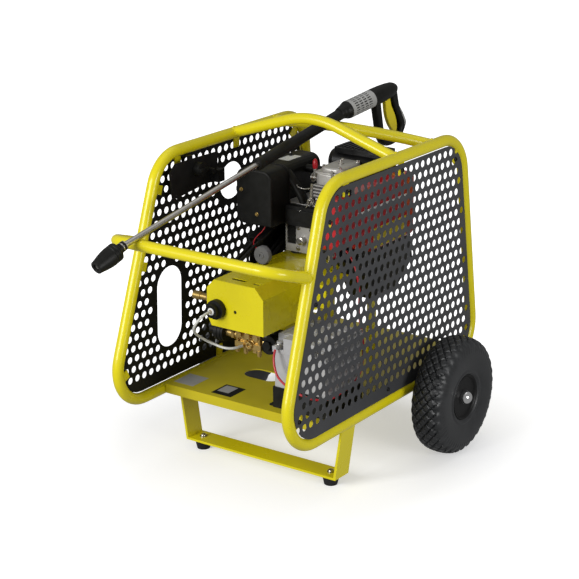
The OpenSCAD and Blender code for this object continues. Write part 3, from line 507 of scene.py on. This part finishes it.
def tyre_profile():
    """The section from the inner bead round the tread to the outer bead, about 2 mm apart."""
    half = [Vector(p) for p in TYRE_SECTION]
    return flow(half + [Vector((r, -w)) for r, w in reversed(TYRE_SECTION)], 3)


def ramp(value, low, high):
    """A smooth step from 0 at low to 1 at high."""
    t = min(1.0, max(0.0, (value - low) / (high - low)))
    return t * t * (3 - 2 * t)


def groove_drop(row, width):
    """Two crossing sets of slanted grooves, which leave diamond lugs."""
    slant = width / LUG_WIDTH + 0.5
    gap = min(0.5 - abs((row + slant) % 1 - 0.5), 0.5 - abs((row - slant) % 1 - 0.5))
    return GROOVE_DEPTH * (1 - ramp(gap, 0.05, 0.10)) * ramp(TREAD_HALF - abs(width), 0, 3)


def shoulder_drop(row, radius, width):
    """Notches between the shoulder lugs, and fine ribs on the sidewall below them."""
    notch = ramp(abs((row + 0.25) % 1 - 0.5), 0.26, 0.36) * ramp(radius, 130, 146) * ramp(width, 25, 31)
    rib = ramp(abs((row * 2) % 1 - 0.5), 0.30, 0.40) * ramp(radius, 121, 127) * ramp(width, 34, 37)
    return max(NOTCH_DEPTH * notch, RIB_DEPTH * rib)


def tread_drop(turn, radius, width):
    """How far the tread lies below the tyre's envelope at a point."""
    row = turn * LUG_ROWS / (2 * math.pi)
    drop = 0
    if 1.2 < abs(width) < TREAD_HALF and radius > 143:
        drop = groove_drop(row, width)
    if radius > 121 and abs(width) > 25:
        drop = max(drop, shoulder_drop(row, radius, abs(width)))
    return drop


def tyre_ring(turn, profile):
    """The tyre's section at one turn: the tread drops along the radius, the sidewall sideways."""
    ring = []
    for radius, width in profile:
        drop = tread_drop(turn, radius, width)
        share = min(1, max(0, (radius - 118) / 28))
        reach = radius - drop * share
        inward = drop * (1 - share)
        ring.append((reach * math.cos(turn), reach * math.sin(turn),
                     width - math.copysign(inward, width)))
    return ring


def make_tyre(name, side, body, node):
    profile = tyre_profile()
    rings = [tyre_ring(2 * math.pi * k / TYRE_STEPS, profile) for k in range(TYRE_STEPS)]
    tyre = Shape().rings(spot(TO_RIGHT, side * TRACK, *AXLE), rings, closed=True)
    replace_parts(tyre.make(name, TYRE, body, "tyre_black", sharp=50), node)


RIM_LIP = [(57.8, 33.5), (60.5, 37.6), (58.5, 39.6), (55, 38), (51, 31), (50.4, 20)]
VALVE = [(3.6, 4), (3.6, 12), (2.6, 13), (2.6, 24), (3.2, 24.5), (3.2, 31), (2, 32.5)]


def make_wheels():
    """Grooved tyres, and on each rim's outside its lip, six ribs and the valve."""
    for side, body, tag in ((-1, "wheel_left", "left"), (1, "wheel_right", "right")):
        make_tyre("tread_" + tag, side, body, "tyre_" + tag)
        out = spot(TO_RIGHT if side > 0 else TO_LEFT, side * TRACK, *AXLE)
        lip = Shape().lathe(out, RIM_LIP, 64)
        lip.make("rim_lip_" + tag, RIM_BLACK, body, "black_plastic", sharp=40)
        ribs = Shape()
        for k in range(6):
            ribs.prism(out @ turned(60 * k, "Z") @ TO_RIGHT, [(-2, 5), (2, 5), (2, 22), (-2, 22)], 20,
                       46.5)
        ribs.make("rim_ribs_" + tag, RIM_BLACK, body, "black_plastic", 0.8)
        valve = Shape().lathe(out @ spot(UP, 38, 22, 0), VALVE, 16)
        valve.make("valve_" + tag, RUBBER, body, "rubber_black")


make_wheels()


# ---------------------------------------------------------------- cage fixings

TABS = [(74, 262), (465, 218), (850, 232), (800, 746), (540, 773), (292, 775), (217, 718), (152, 532)]
SOCKET_SCREW = [(6, 0), (6, 1.0), (5.2, 2.4), (3.6, 3.2), (3.0, 3.2), (2.9, 1.4), (0, 1.4)]
STAND_BOLT = [(10, 0), (10, 1.4), (9.4, 1.8), (7.6, 1.8), (7.6, 3), (7, 5), (5, 7), (3, 7.8), (0, 8)]


def make_screws():
    """Socket screws through the panel tabs, and domed bolts with washers through the stand."""
    heads = Shape()
    for side in (-1, 1):
        for a, b in TABS:
            heads.lathe(side_place(side) @ spot(UP, a, b, 9), SOCKET_SCREW, 20)
    piece = heads.make("panel_screws", BLACK_METAL, "frame", "black_paint")
    bolts = Shape()
    for x in (-203, 203):
        bolts.lathe(spot(UP, x, 306, 32), STAND_BOLT, 24)
    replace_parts(bolts.make("stand_bolts", STEEL, "frame", "steel"), "frame_screws")
    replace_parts(piece, "frame_screws")


BAR_R = 14.5
TUBE_R = 15
BEAD_STEPS = 48


def bead(shape, centre, bar_way, tube_way):
    """The uneven weld bead where a bar's end meets a tube."""
    bar_way, tube_way = Vector(bar_way).normalized(), Vector(tube_way).normalized()
    first = (tube_way - bar_way * tube_way.dot(bar_way)).normalized()
    second = bar_way.cross(first)
    line = []
    for k in range(BEAD_STEPS):
        turn = 2 * math.pi * k / BEAD_STEPS
        reach = math.sqrt(TUBE_R ** 2 - (BAR_R * math.sin(turn)) ** 2) + 0.4 * math.sin(9 * turn)
        rim = BAR_R * (first * math.cos(turn) + second * math.sin(turn))
        line.append(Vector(centre) + rim + bar_way * reach)
    thick = [2.3 + 0.4 * math.sin(11 * k) for k in range(BEAD_STEPS)]
    shape.sweep(UP, line, [(t, t) for t in thick], bar_way, 8, closed=True)


POST_LOW_Z = 185
POST_RUN = 210
TOP_TUBE_Z = 808
TOP_TUBE_FALL = 6 / 630
HANDLE_Z = 600
BAR_ENDS = ((523, 18), (700, 4))


def tube_x(side, z):
    """Where a leaning side frame's tube is at height z."""
    return side * (HALF_WIDTH - math.tan(LEAN) * (z - LEAN_PIVOT))


def make_welds():
    """Beads at the push handle's two ends and at each top bar's two ends."""
    slope = math.atan2(TOP_TUBE_Z - POST_LOW_Z, POST_RUN)
    handle_y = (HANDLE_Z - POST_LOW_Z) / math.tan(slope)
    post_way = (0, math.cos(slope), math.sin(slope))
    reach_way = (0, -math.sin(slope), math.cos(slope))
    welds = Shape()
    for side in (-1, 1):
        bead(welds, (tube_x(side, HANDLE_Z), handle_y, HANDLE_Z), reach_way, post_way)
        for y, rise in BAR_ENDS:
            z = TOP_TUBE_Z - TOP_TUBE_FALL * (y - POST_RUN)
            turn = math.radians(rise)
            bar_way = (-side * math.cos(turn), 0, math.sin(turn))
            bead(welds, (tube_x(side, z), y, z), bar_way, (0, 1, -TOP_TUBE_FALL))
    welds.make("weld_beads", YELLOW, "frame", "yellow_paint", sharp=80)


make_screws()
make_welds()


# ---------------------------------------------------------------- labels without lettering

LABELS = (
    ("blank_label_grey", (-238, 232, 203), (-176, 300, 203.4), SILVER_LABEL, "grey_plastic"),
    ("blank_label_dark", (-112, 226, 203), (-50, 292, 203.4), BLACK_PLASTIC, "black_plastic"),
    ("blank_label_pale", (-106, 244, 203.4), (-70, 286, 203.6), SILVER_LABEL, "grey_plastic"),
    ("tank_label", (171.8, 545, 553), (172.6, 700, 606), YELLOW_LABEL, "yellow_paint"),
    ("tank_stripe", (171.8, 470, 650), (172.6, 700, 664), WHITE_PLASTIC, "white_plastic"),
    ("cleaner_label", (-154, 588, 733), (-120, 646, 733.5), WHITE_PLASTIC, "white_plastic"),
)


def make_labels():
    for name, low, high, look, slot in LABELS:
        Shape().box(low, high).make(name, look, "frame", slot)


make_labels()


# ---------------------------------------------------------------- air cleaner

def cleaner_outline(grow):
    """The cover's outline in X and Z, with two round top corners and one cut corner."""
    left, right, low, high = -192 - grow, -80 + grow, 588 - grow, 736 + grow
    top = arc((right - 26, high - 26), 26, 0, 90) + arc((left + 26, high - 26), 26, 90, 180)
    return top + [(left, low + 18), (left + 4, low + 12), (left + 20, low), (right, low)]


def knurled(shape, place, radius, low, high, ribs, depth):
    """A grip ring with ribs along its height."""
    outline = []
    for k in range(ribs):
        for part, r in ((0, radius), (0.5, radius), (0.6, radius - depth), (0.9, radius - depth)):
            turn = 2 * math.pi * (k + part) / ribs
            outline.append((r * math.cos(turn), r * math.sin(turn)))
    return shape.prism(place, outline, low, high)


CLEANER_KNOB = (-192, 478, 674)
CLEANER_SCREW = [(5.2, -0.5), (5.2, 0.8), (3.6, 1.0), (3.6, 3.4), (3.0, 4.6), (1.4, 4.8), (1.4, 3.6),
                 (0, 3.6)]
INTAKE_ROUTE = [(-96, 543, 716), (-84, 544, 704), (-66, 546, 680), (-50, 548, 656), (-44, 550, 640)]


def make_cleaner_body():
    cover = Shape().prism(TO_FRONT, cleaner_outline(0), -531, -452)
    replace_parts(cover.make("cleaner_cover", BLACK_PLASTIC, "frame", "black_plastic", 5, 4),
                "air_cleaner_cover")
    flange = Shape().prism(TO_FRONT, cleaner_outline(2.5), -534, -528.5)
    flange.prism(TO_FRONT, cleaner_outline(1.2), -526.5, -524.5)
    flange.make("cleaner_flange", BLACK_PLASTIC, "frame", "black_plastic", 1.2)
    knob = Shape()
    knurled(knob, spot(TO_LEFT, *CLEANER_KNOB), 15, 0, 8.6, 18, 1.3)
    knob.lathe(spot(TO_LEFT, *CLEANER_KNOB), [(11, 8), (11, 9.6), (9, 10.4), (0, 10.4)], 32)
    knob.make("cleaner_knob", BLACK_PLASTIC, "frame", "black_plastic", 0.5)


def make_cleaner_fixings():
    """The cover's two screws, the two catches on top, and the elbow to the engine's inlet."""
    screws = Shape()
    for x, z in ((-175, 679), (-126, 619)):
        screws.lathe(spot(TO_FRONT, x, 452, z), CLEANER_SCREW, 24)
    screws.make("cleaner_screws", BRASS, "frame", "brass")
    catches = Shape()
    for y in (556, 640):
        catches.hexagon(spot(UP, -150, y, 732.5), 6, 0, 4)
        catches.lathe(spot(UP, -150, y, 732.5), [(9, 0), (9, 1.2), (3, 1.6), (3, 7), (2, 7.6)], 20)
    catches.make("cleaner_catches", BLACK_METAL, "frame", "black_paint", 0.4)
    elbow = Shape().sweep(UP, flow(INTAKE_ROUTE, 5), (14, 10), (0, 1, 0), 20, 0.7)
    elbow.make("intake_elbow", BLACK_PLASTIC, "frame", "black_plastic", sharp=50)


make_cleaner_body()
make_cleaner_fixings()


# ---------------------------------------------------------------- engine details

MUFFLER_DRUM = [(0, -76), (24, -76), (30, -73), (34, -67), (34, -62), (35, -60), (35, -57), (34, -55),
                (34, 76), (35, 78), (35, 81), (34, 83), (34, 86), (30, 92), (24, 95), (0, 95)]
INLET_PIPE = [(15, 0), (15, 4), (12, 6), (12, 14)]
TAIL_PIPE = [(11, 0), (11, 17), (9, 17), (9, 2)]
SWITCH_DISC = [(21, -14), (24, -12), (24, 0), (22.6, 2), (9, 2.6), (8, 5), (6.4, 5.4), (5, 5),
               (4.6, 2.4), (0, 2.4)]


SMALL_WASHER = [(6.4, -0.5), (6.4, 0.8), (5, 1.1), (3, 1.1)]
COVER_STUD = [(9, -0.5), (9, 1), (3, 1.4), (3, 11), (2, 12)]
RELEASE_HUB = [(12, -1), (12, 1.5), (10.5, 3), (6, 3), (5.4, 5), (2, 5.4), (0, 5.4)]
RELEASE_GRIP = [(4.4, 0), (6.4, 3), (7, 12), (6.2, 20), (4, 25), (1.4, 27), (0, 27.2)]
INJECTOR_ROUTE = [(52, 552, 640), (54, 544, 664), (50, 546, 692), (38, 556, 716), (26, 572, 730)]
GOVERNOR_ROD = [(-4, 517, 692), (-22, 516, 688), (-40, 517, 690), (-48, 520, 694)]
GOVERNOR_LINK = [(-6, 516, 664), (-10, 515, 646), (-24, 514, 632), (-40, 512, 628)]


def make_crankcase_front():
    """The vented window and the dipstick's hexagon on the crankcase's front face."""
    window = Shape().box((-88, 536, 529), (-62, 539.5, 577))
    for k in range(5):
        window.box((-86, 534.5, 533 + 9 * k), (-64, 536.5, 537 + 9 * k))
    window.make("crankcase_window", BLACK_PLASTIC, "frame", "black_plastic", 0.8)
    plug = Shape().hexagon(spot(TO_FRONT, -40, 521, 543), 7, -0.5, 3.6)
    plug.lathe(spot(TO_FRONT, -40, 521, 543), [(10.6, -0.6), (10.6, 0.5), (9, 1.2), (0, 1.2)], 32)
    plug.make("dipstick_hexagon", STEEL, "dipstick", "steel", 0.5)


def make_engine_bolts():
    bolts = Shape()
    for x, z in ((-54, 518), (-10, 518), (-54, 574), (-12, 574), (4, 518)):
        bolts.lathe(spot(TO_FRONT, x, 535, z), SMALL_WASHER, 20)
        bolts.hexagon(spot(TO_FRONT, x, 535, z), 4.6, 0.5, 4.4)
    for x, y in ((-6, 584), (44, 584), (-6, 668), (44, 668)):
        bolts.hexagon(spot(UP, x, y, 736.5), 4.8, -2, 4)
    for x, y in ((-15, 569), (53, 569), (53, 683)):
        bolts.hexagon(spot(UP, x, y, 718), 4.6, -5, 5)
    bolts.lathe(spot(UP, 19, 626, 736), COVER_STUD, 24)
    bolts.hexagon(spot(UP, 19, 626, 737), 6, 0.5, 6)
    bolts.make("engine_bolts", STEEL, "frame", "steel", 0.5)


def make_head():
    """The cylinder head, the gasket on it and the rocker cover."""
    flange = Shape().prism(UP, rounded_box((-25, 565), (62.5, 687), 8), 720, 724)
    flange.make("rocker_gasket", ALUMINIUM, "frame", "cast_aluminium", 0.8)
    head = Shape().prism(UP, rounded_box((-22, 562), (60, 690), 18), 690, 720.5)
    head.lathe(spot(TO_LEFT, -20, 576, 704), [(3, 0), (3, 17)], 16)
    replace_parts(head.make("head_casting", ALUMINIUM, "frame", "cast_aluminium", 4, 3), "cylinder_head")
    cover = Shape().prism(UP, rounded_box((-14, 572), (52, 680), 20), 721, 737)
    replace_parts(cover.make("rocker_casting", ALUMINIUM, "frame", "cast_aluminium", 7, 5),
                "rocker_cover")


def wire(name, points, radius, body="frame"):
    """A thin bent steel pipe or rod."""
    path = flow(points, 6)
    across = (path[-1] - path[0]).cross(Vector((0.31, 0.52, 0.79)))
    rod = Shape().sweep(UP, path, (radius, radius), across, 8)
    rod.make(name, STEEL, body, "steel", sharp=60)


def make_linkage():
    """The injector's pipe, and the governor's rod, link and spring."""
    wire("injector_pipe", INJECTOR_ROUTE, 2.6)
    wire("governor_rod", GOVERNOR_ROD, 1.6, "throttle")
    wire("governor_link", GOVERNOR_LINK, 1.6)
    coil = spring_line(spot(turned(128, "Y"), -6, 515, 662), 3.4, 2.6, 12)
    spring = Shape().sweep(UP, coil, (0.7, 0.7), (0.62, 0, 0.78), 6)
    spring.make("governor_spring", STEEL, "frame", "steel", sharp=80)


def make_release():
    """The decompression lever: a hub on the head's side, a steel arm and a red grip."""
    hub = Shape().lathe(spot(TO_LEFT, -33.5, 576, 704), RELEASE_HUB, 32)
    hub.make("release_hub", STEEL, "release", "steel")
    arm = Shape().lathe(spot(TO_LEFT, -28, 576, 704), [(7, -5), (8, -4), (8, 4), (7, 5)], 32)
    arm.prism(TO_RIGHT, [(571, 704), (581, 704), (579, 732), (573, 732)], -31, -25)
    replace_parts(arm.make("release_arm", STEEL, "release", "steel", 0.8), "decompression_lever")
    grip = Shape().lathe(spot(UP, -28, 576, 728), RELEASE_GRIP, 24)
    grip.make("release_grip", RED_PLASTIC, "release", "red_plastic")


def make_cowl_panel():
    panel = Shape().prism(TO_FRONT, rounded_box((-70, 600), (46, 630), 4), -510.4, -508.4)
    panel.make("cowl_panel", BLACK_PLASTIC, "frame", "black_plastic", 0.8)


def make_muffler():
    """The drum across the rear of the head, its inlet and tail pipes, and the ribbed shield over it."""
    drum = Shape().lathe(spot(TO_RIGHT, 0, 732, 714), MUFFLER_DRUM, 64)
    drum.lathe(spot(TO_REAR, 26, 690, 706), INLET_PIPE, 32)
    drum.lathe(spot(TO_RIGHT, 94, 738, 716), TAIL_PIPE, 32)
    drum.box((14, 715, 640.5), (38, 733, 690))
    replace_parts(drum.make("muffler_drum", BLACK_METAL, "frame", "black_paint", 0.8), "muffler")
    shield = Shape().prism(UP, rounded_box((-51, 693), (97, 771), 9), 744, 759)
    for k in range(11):
        shield.box((-42 + 12 * k, 701, 758), (-36 + 12 * k, 763, 761.4))
    shield.make("muffler_shield", BLACK_METAL, "frame", "black_paint", 1.2)


def make_service_disc():
    """The round grey isolating switch under the air cleaner, on its bracket."""
    disc = Shape().lathe(spot(TO_FRONT, -85, 415, 524.6), SWITCH_DISC, 48)
    disc.make("switch_disc", DISC_GREY, "frame", "grey_plastic")
    bracket = Shape().box((-94, 429, 500), (-76, 431.5, 548))
    bracket.box((-94, 414, 500), (-76, 431, 502.4))
    bracket.make("switch_bracket", BLACK_METAL, "frame", "black_paint", 0.6)


make_crankcase_front()
make_engine_bolts()
make_head()
make_linkage()
make_release()
make_cowl_panel()
make_muffler()
make_service_disc()


# ---------------------------------------------------------------- pump details

DOSING_KNOB = (-64, 200, 446)
DOSING_GRIP = [(24.6, 5.5), (24.6, 9), (22, 13), (18.5, 15.2), (17, 17), (16.8, 28.6), (15.4, 30),
               (7.6, 30), (7.0, 28)]
HOSE_COLLAR = [(9.4, -8), (10.2, 0), (10.2, 5.4), (8.6, 7.2), (5.2, 7.6), (4.4, 6)]
COVER_NUT_STUD = [(8, -0.6), (8, 0.8), (3, 1.2), (3, 9), (2, 10)]
HEAD_PLUG = [(12, 0), (12, 4), (10.4, 5), (10.4, 12), (9, 14), (4.6, 14), (4.4, 9), (0, 9)]
LOWER_PLUG = [(5, 0), (5, 1.5), (3.2, 3), (1.6, 3.4)]
UPPER_PLUG = [(5.4, 0), (5.4, 7), (4.6, 8), (3.8, 8)]
UNLOADER_RING = [(15, -4), (15, 2), (17.5, 3), (17.5, 9), (16, 11), (16, 16)]
COVER_BOLT = [(4.9, -4), (4.9, -2.2), (3.8, -1.6), (1.8, -1.6), (1.6, -3)]


def make_dosing():
    """The dosing knob's ribbed grip, and the collar where the clear hose enters it."""
    knob = Shape()
    knurled(knob, spot(TO_FRONT, *DOSING_KNOB), 25, 0.6, 6, 30, 0.9)
    knob.lathe(spot(TO_FRONT, *DOSING_KNOB), DOSING_GRIP, 48)
    knob.make("dosing_grip", BLACK_PLASTIC, "dosing", "black_plastic", 0.5)
    collar = Shape().lathe(spot(TO_FRONT, -64, 176, 446), HOSE_COLLAR, 32)
    collar.make("hose_collar", WHITE_PLASTIC, "frame", "white_plastic")


def make_cover_nuts():
    nuts = Shape()
    for x, y in ((-50, 250), (62, 226)):
        nuts.hexagon(spot(DOWN, x, y, 398), 5.4, 0, 5)
        nuts.lathe(spot(DOWN, x, y, 398), COVER_NUT_STUD, 20)
    nuts.make("cover_nuts", STEEL, "frame", "steel", 0.5)


def make_head_fittings():
    """The brass plugs of the pump's head, the unloader's ring and the water filter's cap."""
    plug = Shape().lathe(spot(TO_FRONT, -8, 262, 344), HEAD_PLUG, 36)
    for x in (-48, -22, 20):
        plug.lathe(spot(DOWN, x, 258, 320), LOWER_PLUG, 20)
        plug.lathe(spot(UP, x, 258, 372), UPPER_PLUG, 20)
    plug.make("brass_plug", BRASS, "frame", "brass", 0.4)
    ring = Shape().lathe(spot(TO_RIGHT, 24, 278, 352), UNLOADER_RING, 36)
    ring.make("unloader_ring", BRASS, "frame", "brass")
    cap = Shape()
    knurled(cap, spot(TO_LEFT, -128, 285, 352), 24, -4, 3, 24, 1.2)
    cap.make("filter_cap", BLACK_PLASTIC, "frame", "black_plastic", 0.6)


def make_cover_bolt():
    bolt = Shape().lathe(spot(TO_FRONT, -11, 200, 446), COVER_BOLT, 24)
    bolt.make("cover_bolt", BLACK_METAL, "frame", "black_paint")


make_dosing()
make_cover_nuts()
make_head_fittings()
make_cover_bolt()


# ---------------------------------------------------------------- battery and tank details

CELL_CAP = [(8, -1), (8, 1.4), (7, 2.4), (2.4, 2.4), (2.2, 1.4), (0, 1.4)]
POST_CLAMP = [(8.1, 0), (12, 0), (12.6, 1), (12.6, 7), (12, 8), (8.1, 8)]
FILLER_CAP = (135, 455, 716)
FILLER_TOP = [(28.4, 16.5), (27, 19.4), (22, 21), (9, 21.2), (8, 20), (0, 20)]


def make_battery():
    """Six cell caps and raised ridges on the lid, and the clamps on the two posts."""
    caps = Shape()
    for k in range(6):
        caps.lathe(spot(UP, 104 + 20.4 * k, 318, 391), CELL_CAP, 24)
    caps.make("battery_caps", GREY_PLASTIC, "frame", "grey_plastic", 0.3)
    ridges = Shape()
    for x in (84, 226):
        ridges.box((x - 3, 262, 390.5), (x + 3, 396, 393))
    ridges.box((84, 268, 390.5), (226, 272, 392.4))
    ridges.box((84, 364, 390.5), (226, 368, 392.4))
    ridges.make("battery_ridges", GREY_PLASTIC, "frame", "grey_plastic", 0.6)
    clamps = Shape()
    for x in (92, 218):
        clamps.lathe(spot(UP, x, 246, 366), POST_CLAMP, 32)
        clamps.box((x - 4, 229, 367), (x + 4, 237, 373))
    clamps.make("battery_clamps", STEEL, "frame", "steel", 0.5)


def make_tank():
    """The tank's welded seam, and the filler cap's ribbed grip."""
    seam = Shape().prism(UP, rounded_box((95, 381), (175, 753), 18), 645.5, 649)
    seam.make("tank_seam", RED_PAINT, "frame", "red_paint", 0.8)
    cap = Shape()
    knurled(cap, spot(UP, *FILLER_CAP), 29.6, 1, 17, 26, 1.3)
    cap.lathe(spot(UP, *FILLER_CAP), FILLER_TOP, 48)
    cap.make("filler_grip", BLACK_PLASTIC, "filler_cap", "black_plastic", 0.6)


make_battery()
make_tank()


# ---------------------------------------------------------------- lance, nozzle and gun

def along(path, values, steps):
    """Half sizes that follow a smooth line's own steps."""
    rows = flow([(*value, 0) for value in values], steps)
    return flow(path, steps), [(row.x, row.y) for row in rows]


NOZZLE_CONE = [(12.6, 19), (20, 21), (23, 23.4), (24, 26), (24, 31), (22.8, 32), (22.8, 34), (24, 35),
               (24, 40), (22.8, 41), (22.8, 43), (24, 44), (23.6, 52), (22.6, 60), (20.2, 74),
               (17.8, 86), (17.0, 90), (17.0, 92.4), (16, 94), (9.4, 94), (8.2, 92), (7.2, 87), (0, 87)]
NOZZLE_RIB = [(22.4, 47), (24.1, 47), (23.3, 58), (20.6, 74), (19.2, 80), (18.2, 80)]
NOZZLE_TIP = [(5.6, 84), (5.6, 89), (4.6, 90.4), (1.4, 90.4), (1.2, 88)]
COUPLER = [(8.4, -3.6), (11.6, -2.6), (12.4, 0), (12.4, 5), (11.4, 6), (11.4, 8), (12.4, 9), (12.4, 16),
           (12, 22), (10, 22)]
LANCE_GRIP = [(8.2, 408), (14.6, 408.4), (16.2, 410.5), (16.2, 421), (15.2, 423), (15, 430), (15, 752),
              (14.4, 762)]
GUN_CONE = [(14.6, -38), (15.2, -36), (16.6, -31), (16.4, -29), (18.0, -25), (18.9, -22), (18.6, -20),
            (21.0, -15), (23.0, -10), (24.2, -5), (22, -4)]
GUN_BODY = [(20, 86), (23.6, 87.4), (24.2, 91), (24.2, 108), (23.4, 130), (21.6, 154), (18.8, 172),
            (14.6, 181), (10, 187), (4, 189), (0, 189.3)]
SLEEVE_RINGS = ((-4, 8), (21, 25.5), (37, 41.5), (53, 57.5), (70, 87))
SLEEVE_BARS = 22
HANDLE_LINE = [(105, -8, 0), (106, -60, 0), (108.5, -112, 0), (119, -134, 0), (141, -142, 0),
               (167, -138, 0), (186, -122, 0), (193.5, -105, 0), (186, -80, 0), (177, -52, 0),
               (172, -10, 0)]
HANDLE_SIZES = [(13, 13), (13, 12), (12.6, 11), (12.6, 9.4), (12.5, 8), (13, 8.4), (13.6, 9.6),
                (14, 10.8), (14, 10), (14, 10.6), (13.6, 14)]
INSERT_LINE = [(186, -52, 0), (192, -72, 0), (198.5, -94, 0), (199.5, -106, 0), (192, -122, 0)]
INSERT_SIZES = [(10, 2.6), (13.6, 4.6), (14.8, 6), (14.6, 6), (11, 3.6)]
TRIGGER_SLOT = [(150, -20), (168, -36), (185, -70), (192.5, -100), (187, -123), (170, -128),
                (150, -100)]
TRIGGER = [(138, -20), (156, -16), (160, -42), (171, -74), (174, -102), (168, -122), (160, -122),
           (153, -110), (144, -92), (138, -70), (136, -46)]


def make_nozzle():
    """The rotor nozzle's grooved cone, its ribs and steel tip, and the coupler behind it."""
    place = NOZZLE @ TO_FRONT
    cone = Shape().lathe(place, NOZZLE_CONE, 64)
    for k in range(18):
        cone.prism(place @ turned(20 * k, "Z") @ TO_FRONT, NOZZLE_RIB, -1.1, 1.1)
    cone = cone.make("nozzle_cone", BLACK_PLASTIC, "nozzle", "black_plastic", sharp=40)
    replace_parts(cone, "rotor_nozzle")
    Shape().lathe(place, NOZZLE_TIP, 28).make("nozzle_tip", STEEL, "nozzle", "steel")
    coupler = Shape().lathe(place, COUPLER, 40)
    coupler.make("nozzle_coupler", BLACK_PLASTIC, "lance", "black_plastic")


def make_grip():
    """The insulated grip along the lance, and the cone that joins it to the gun."""
    grip = Shape().lathe(LANCE @ TO_REAR, LANCE_GRIP, 48)
    grip.make("lance_grip", BLACK_PLASTIC, "lance", "black_plastic")
    cone = Shape().lathe(GUN @ TO_REAR, GUN_CONE, 56)
    cone.make("gun_cone", BLACK_PLASTIC, "lance", "black_plastic")


def make_sleeve():
    """The light sleeve: rings and bars that leave rows of slots over a dark core."""
    place = GUN @ TO_REAR
    sleeve = Shape()
    for low, high in SLEEVE_RINGS:
        edge = [(22, low), (23.6, low), (24.2, low + 0.6), (24.2, high - 0.6), (23.6, high), (22, high)]
        sleeve.lathe(place, edge, 72)
    for k in range(SLEEVE_BARS):
        sleeve.box((21.8, -1.9, 4), (23.9, 1.9, 74), place @ turned(360 * k / SLEEVE_BARS, "Z"))
    sleeve.make("gun_sleeve", SLEEVE_GREY, "lance", "grey_plastic", 0.3, 1)
    core = Shape().lathe(place, [(19, -7), (22.2, -6), (22.2, 88), (19, 89)], 64)
    core.make("gun_core", BLACK_PLASTIC, "lance", "black_plastic")


def make_gun():
    """The gun's body, its looped handle with a slot for the trigger, and the light insert behind."""
    body = Shape().lathe(GUN @ TO_REAR, GUN_BODY, 56)
    body.make("gun_body", BLACK_PLASTIC, "lance", "black_plastic")
    path, half = along(HANDLE_LINE, HANDLE_SIZES, 6)
    handle = Shape().sweep(GUN_SIDE, path, half, (0, 0, 1), 20, 0.75)
    handle = handle.make("gun_handle", BLACK_PLASTIC, "lance", "black_plastic", sharp=60)
    carve(handle, Shape().prism(GUN_SIDE, TRIGGER_SLOT, -7.6, 7.6))
    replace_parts(handle, "spray_gun")
    path, half = along(INSERT_LINE, INSERT_SIZES, 6)
    insert = Shape().sweep(GUN_SIDE, path, half, (0, 0, 1), 16, 0.8)
    insert.make("handle_insert", SLEEVE_GREY, "lance", "grey_plastic", sharp=60)


def make_trigger():
    outline = [(p.x, p.y) for p in flow([(*p, 0) for p in TRIGGER + TRIGGER[:1]], 3)[:-1]]
    blade = Shape().prism(GUN_SIDE, outline, -6.5, 6.5)
    blade = blade.make("trigger_blade", YELLOW_PLASTIC, "trigger", "yellow_plastic", 2.2, 3, 50)
    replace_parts(blade, "gun_trigger")


make_nozzle()
make_grip()
make_sleeve()
make_gun()
make_trigger()


# ---------------------------------------------------------------- studio

FLOOR_REACH = 14
FLOOR_GLOW = 0.40
FLOOR_FADE = (0.42, 1.15)
WORLD_GLOW = 0.30
LIGHTS = (
    ("key", (-1.0, -3.7, 1.75), (0, 0, 0.5), (2.0, 1.6), 128),
    ("top", (0.0, 0.4, 3.2), (0, 0, 0.4), (2.6, 2.6), 10),
    ("fill", (3.4, -0.8, 1.1), (0, 0, 0.5), (1.4, 1.4), 52),
)


def make_floor():
    """A pale floor that brightens to white further out, and throws no light back on the machine."""
    mesh = bpy.data.meshes.new("floor")
    corners = [(x * FLOOR_REACH, y * FLOOR_REACH, 0) for x, y in ((-1, -1), (1, -1), (1, 1), (-1, 1))]
    mesh.from_pydata(corners, [], [(0, 1, 2, 3)])
    floor = bpy.data.objects.new("floor", mesh)
    bpy.context.scene.collection.objects.link(floor)
    n = Nodes("floor")
    n.shader.inputs["Base Color"].default_value = (0.80, 0.80, 0.80, 1)
    n.shader.inputs["Roughness"].default_value = 0.9
    n.shader.inputs["Emission Color"].default_value = (1, 1, 1, 1)
    away = n.new("ShaderNodeVectorMath", operation="LENGTH")
    n.link(n.place(), away.inputs[0])
    glow = n.spread(away.outputs["Value"], *FLOOR_FADE, FLOOR_GLOW, 1.0)
    n.link(glow, n.shader.inputs["Emission Strength"])
    mesh.materials.append(n.material)
    floor.visible_diffuse = False
    floor.visible_glossy = False


def make_world():
    """Dim grey surroundings for the object, and white where the camera looks past it."""
    world = bpy.data.worlds.new("studio")
    bpy.context.scene.world = world
    world.use_nodes = True
    tree = world.node_tree
    dim = tree.nodes["Background"]
    dim.inputs["Color"].default_value = (1.0, 1.0, 1.0, 1)
    dim.inputs["Strength"].default_value = WORLD_GLOW
    white = tree.nodes.new("ShaderNodeBackground")
    white.inputs["Strength"].default_value = 1.0
    paths = tree.nodes.new("ShaderNodeLightPath")
    mix = tree.nodes.new("ShaderNodeMixShader")
    tree.links.new(paths.outputs["Is Camera Ray"], mix.inputs[0])
    tree.links.new(dim.outputs[0], mix.inputs[1])
    tree.links.new(white.outputs[0], mix.inputs[2])
    tree.links.new(mix.outputs[0], tree.nodes["World Output"].inputs["Surface"])


def soft_light(name, place, aim, size, power):
    data = bpy.data.lights.new(name, "AREA")
    data.shape = "RECTANGLE"
    data.size, data.size_y = size
    data.energy = power
    light = bpy.data.objects.new(name, data)
    bpy.context.scene.collection.objects.link(light)
    light.location = place
    light.rotation_euler = (Vector(aim) - Vector(place)).to_track_quat("-Z", "Y").to_euler()


make_floor()
make_world()
for light in LIGHTS:
    soft_light(*light)
bpy.context.scene.view_settings.view_transform = "Standard"
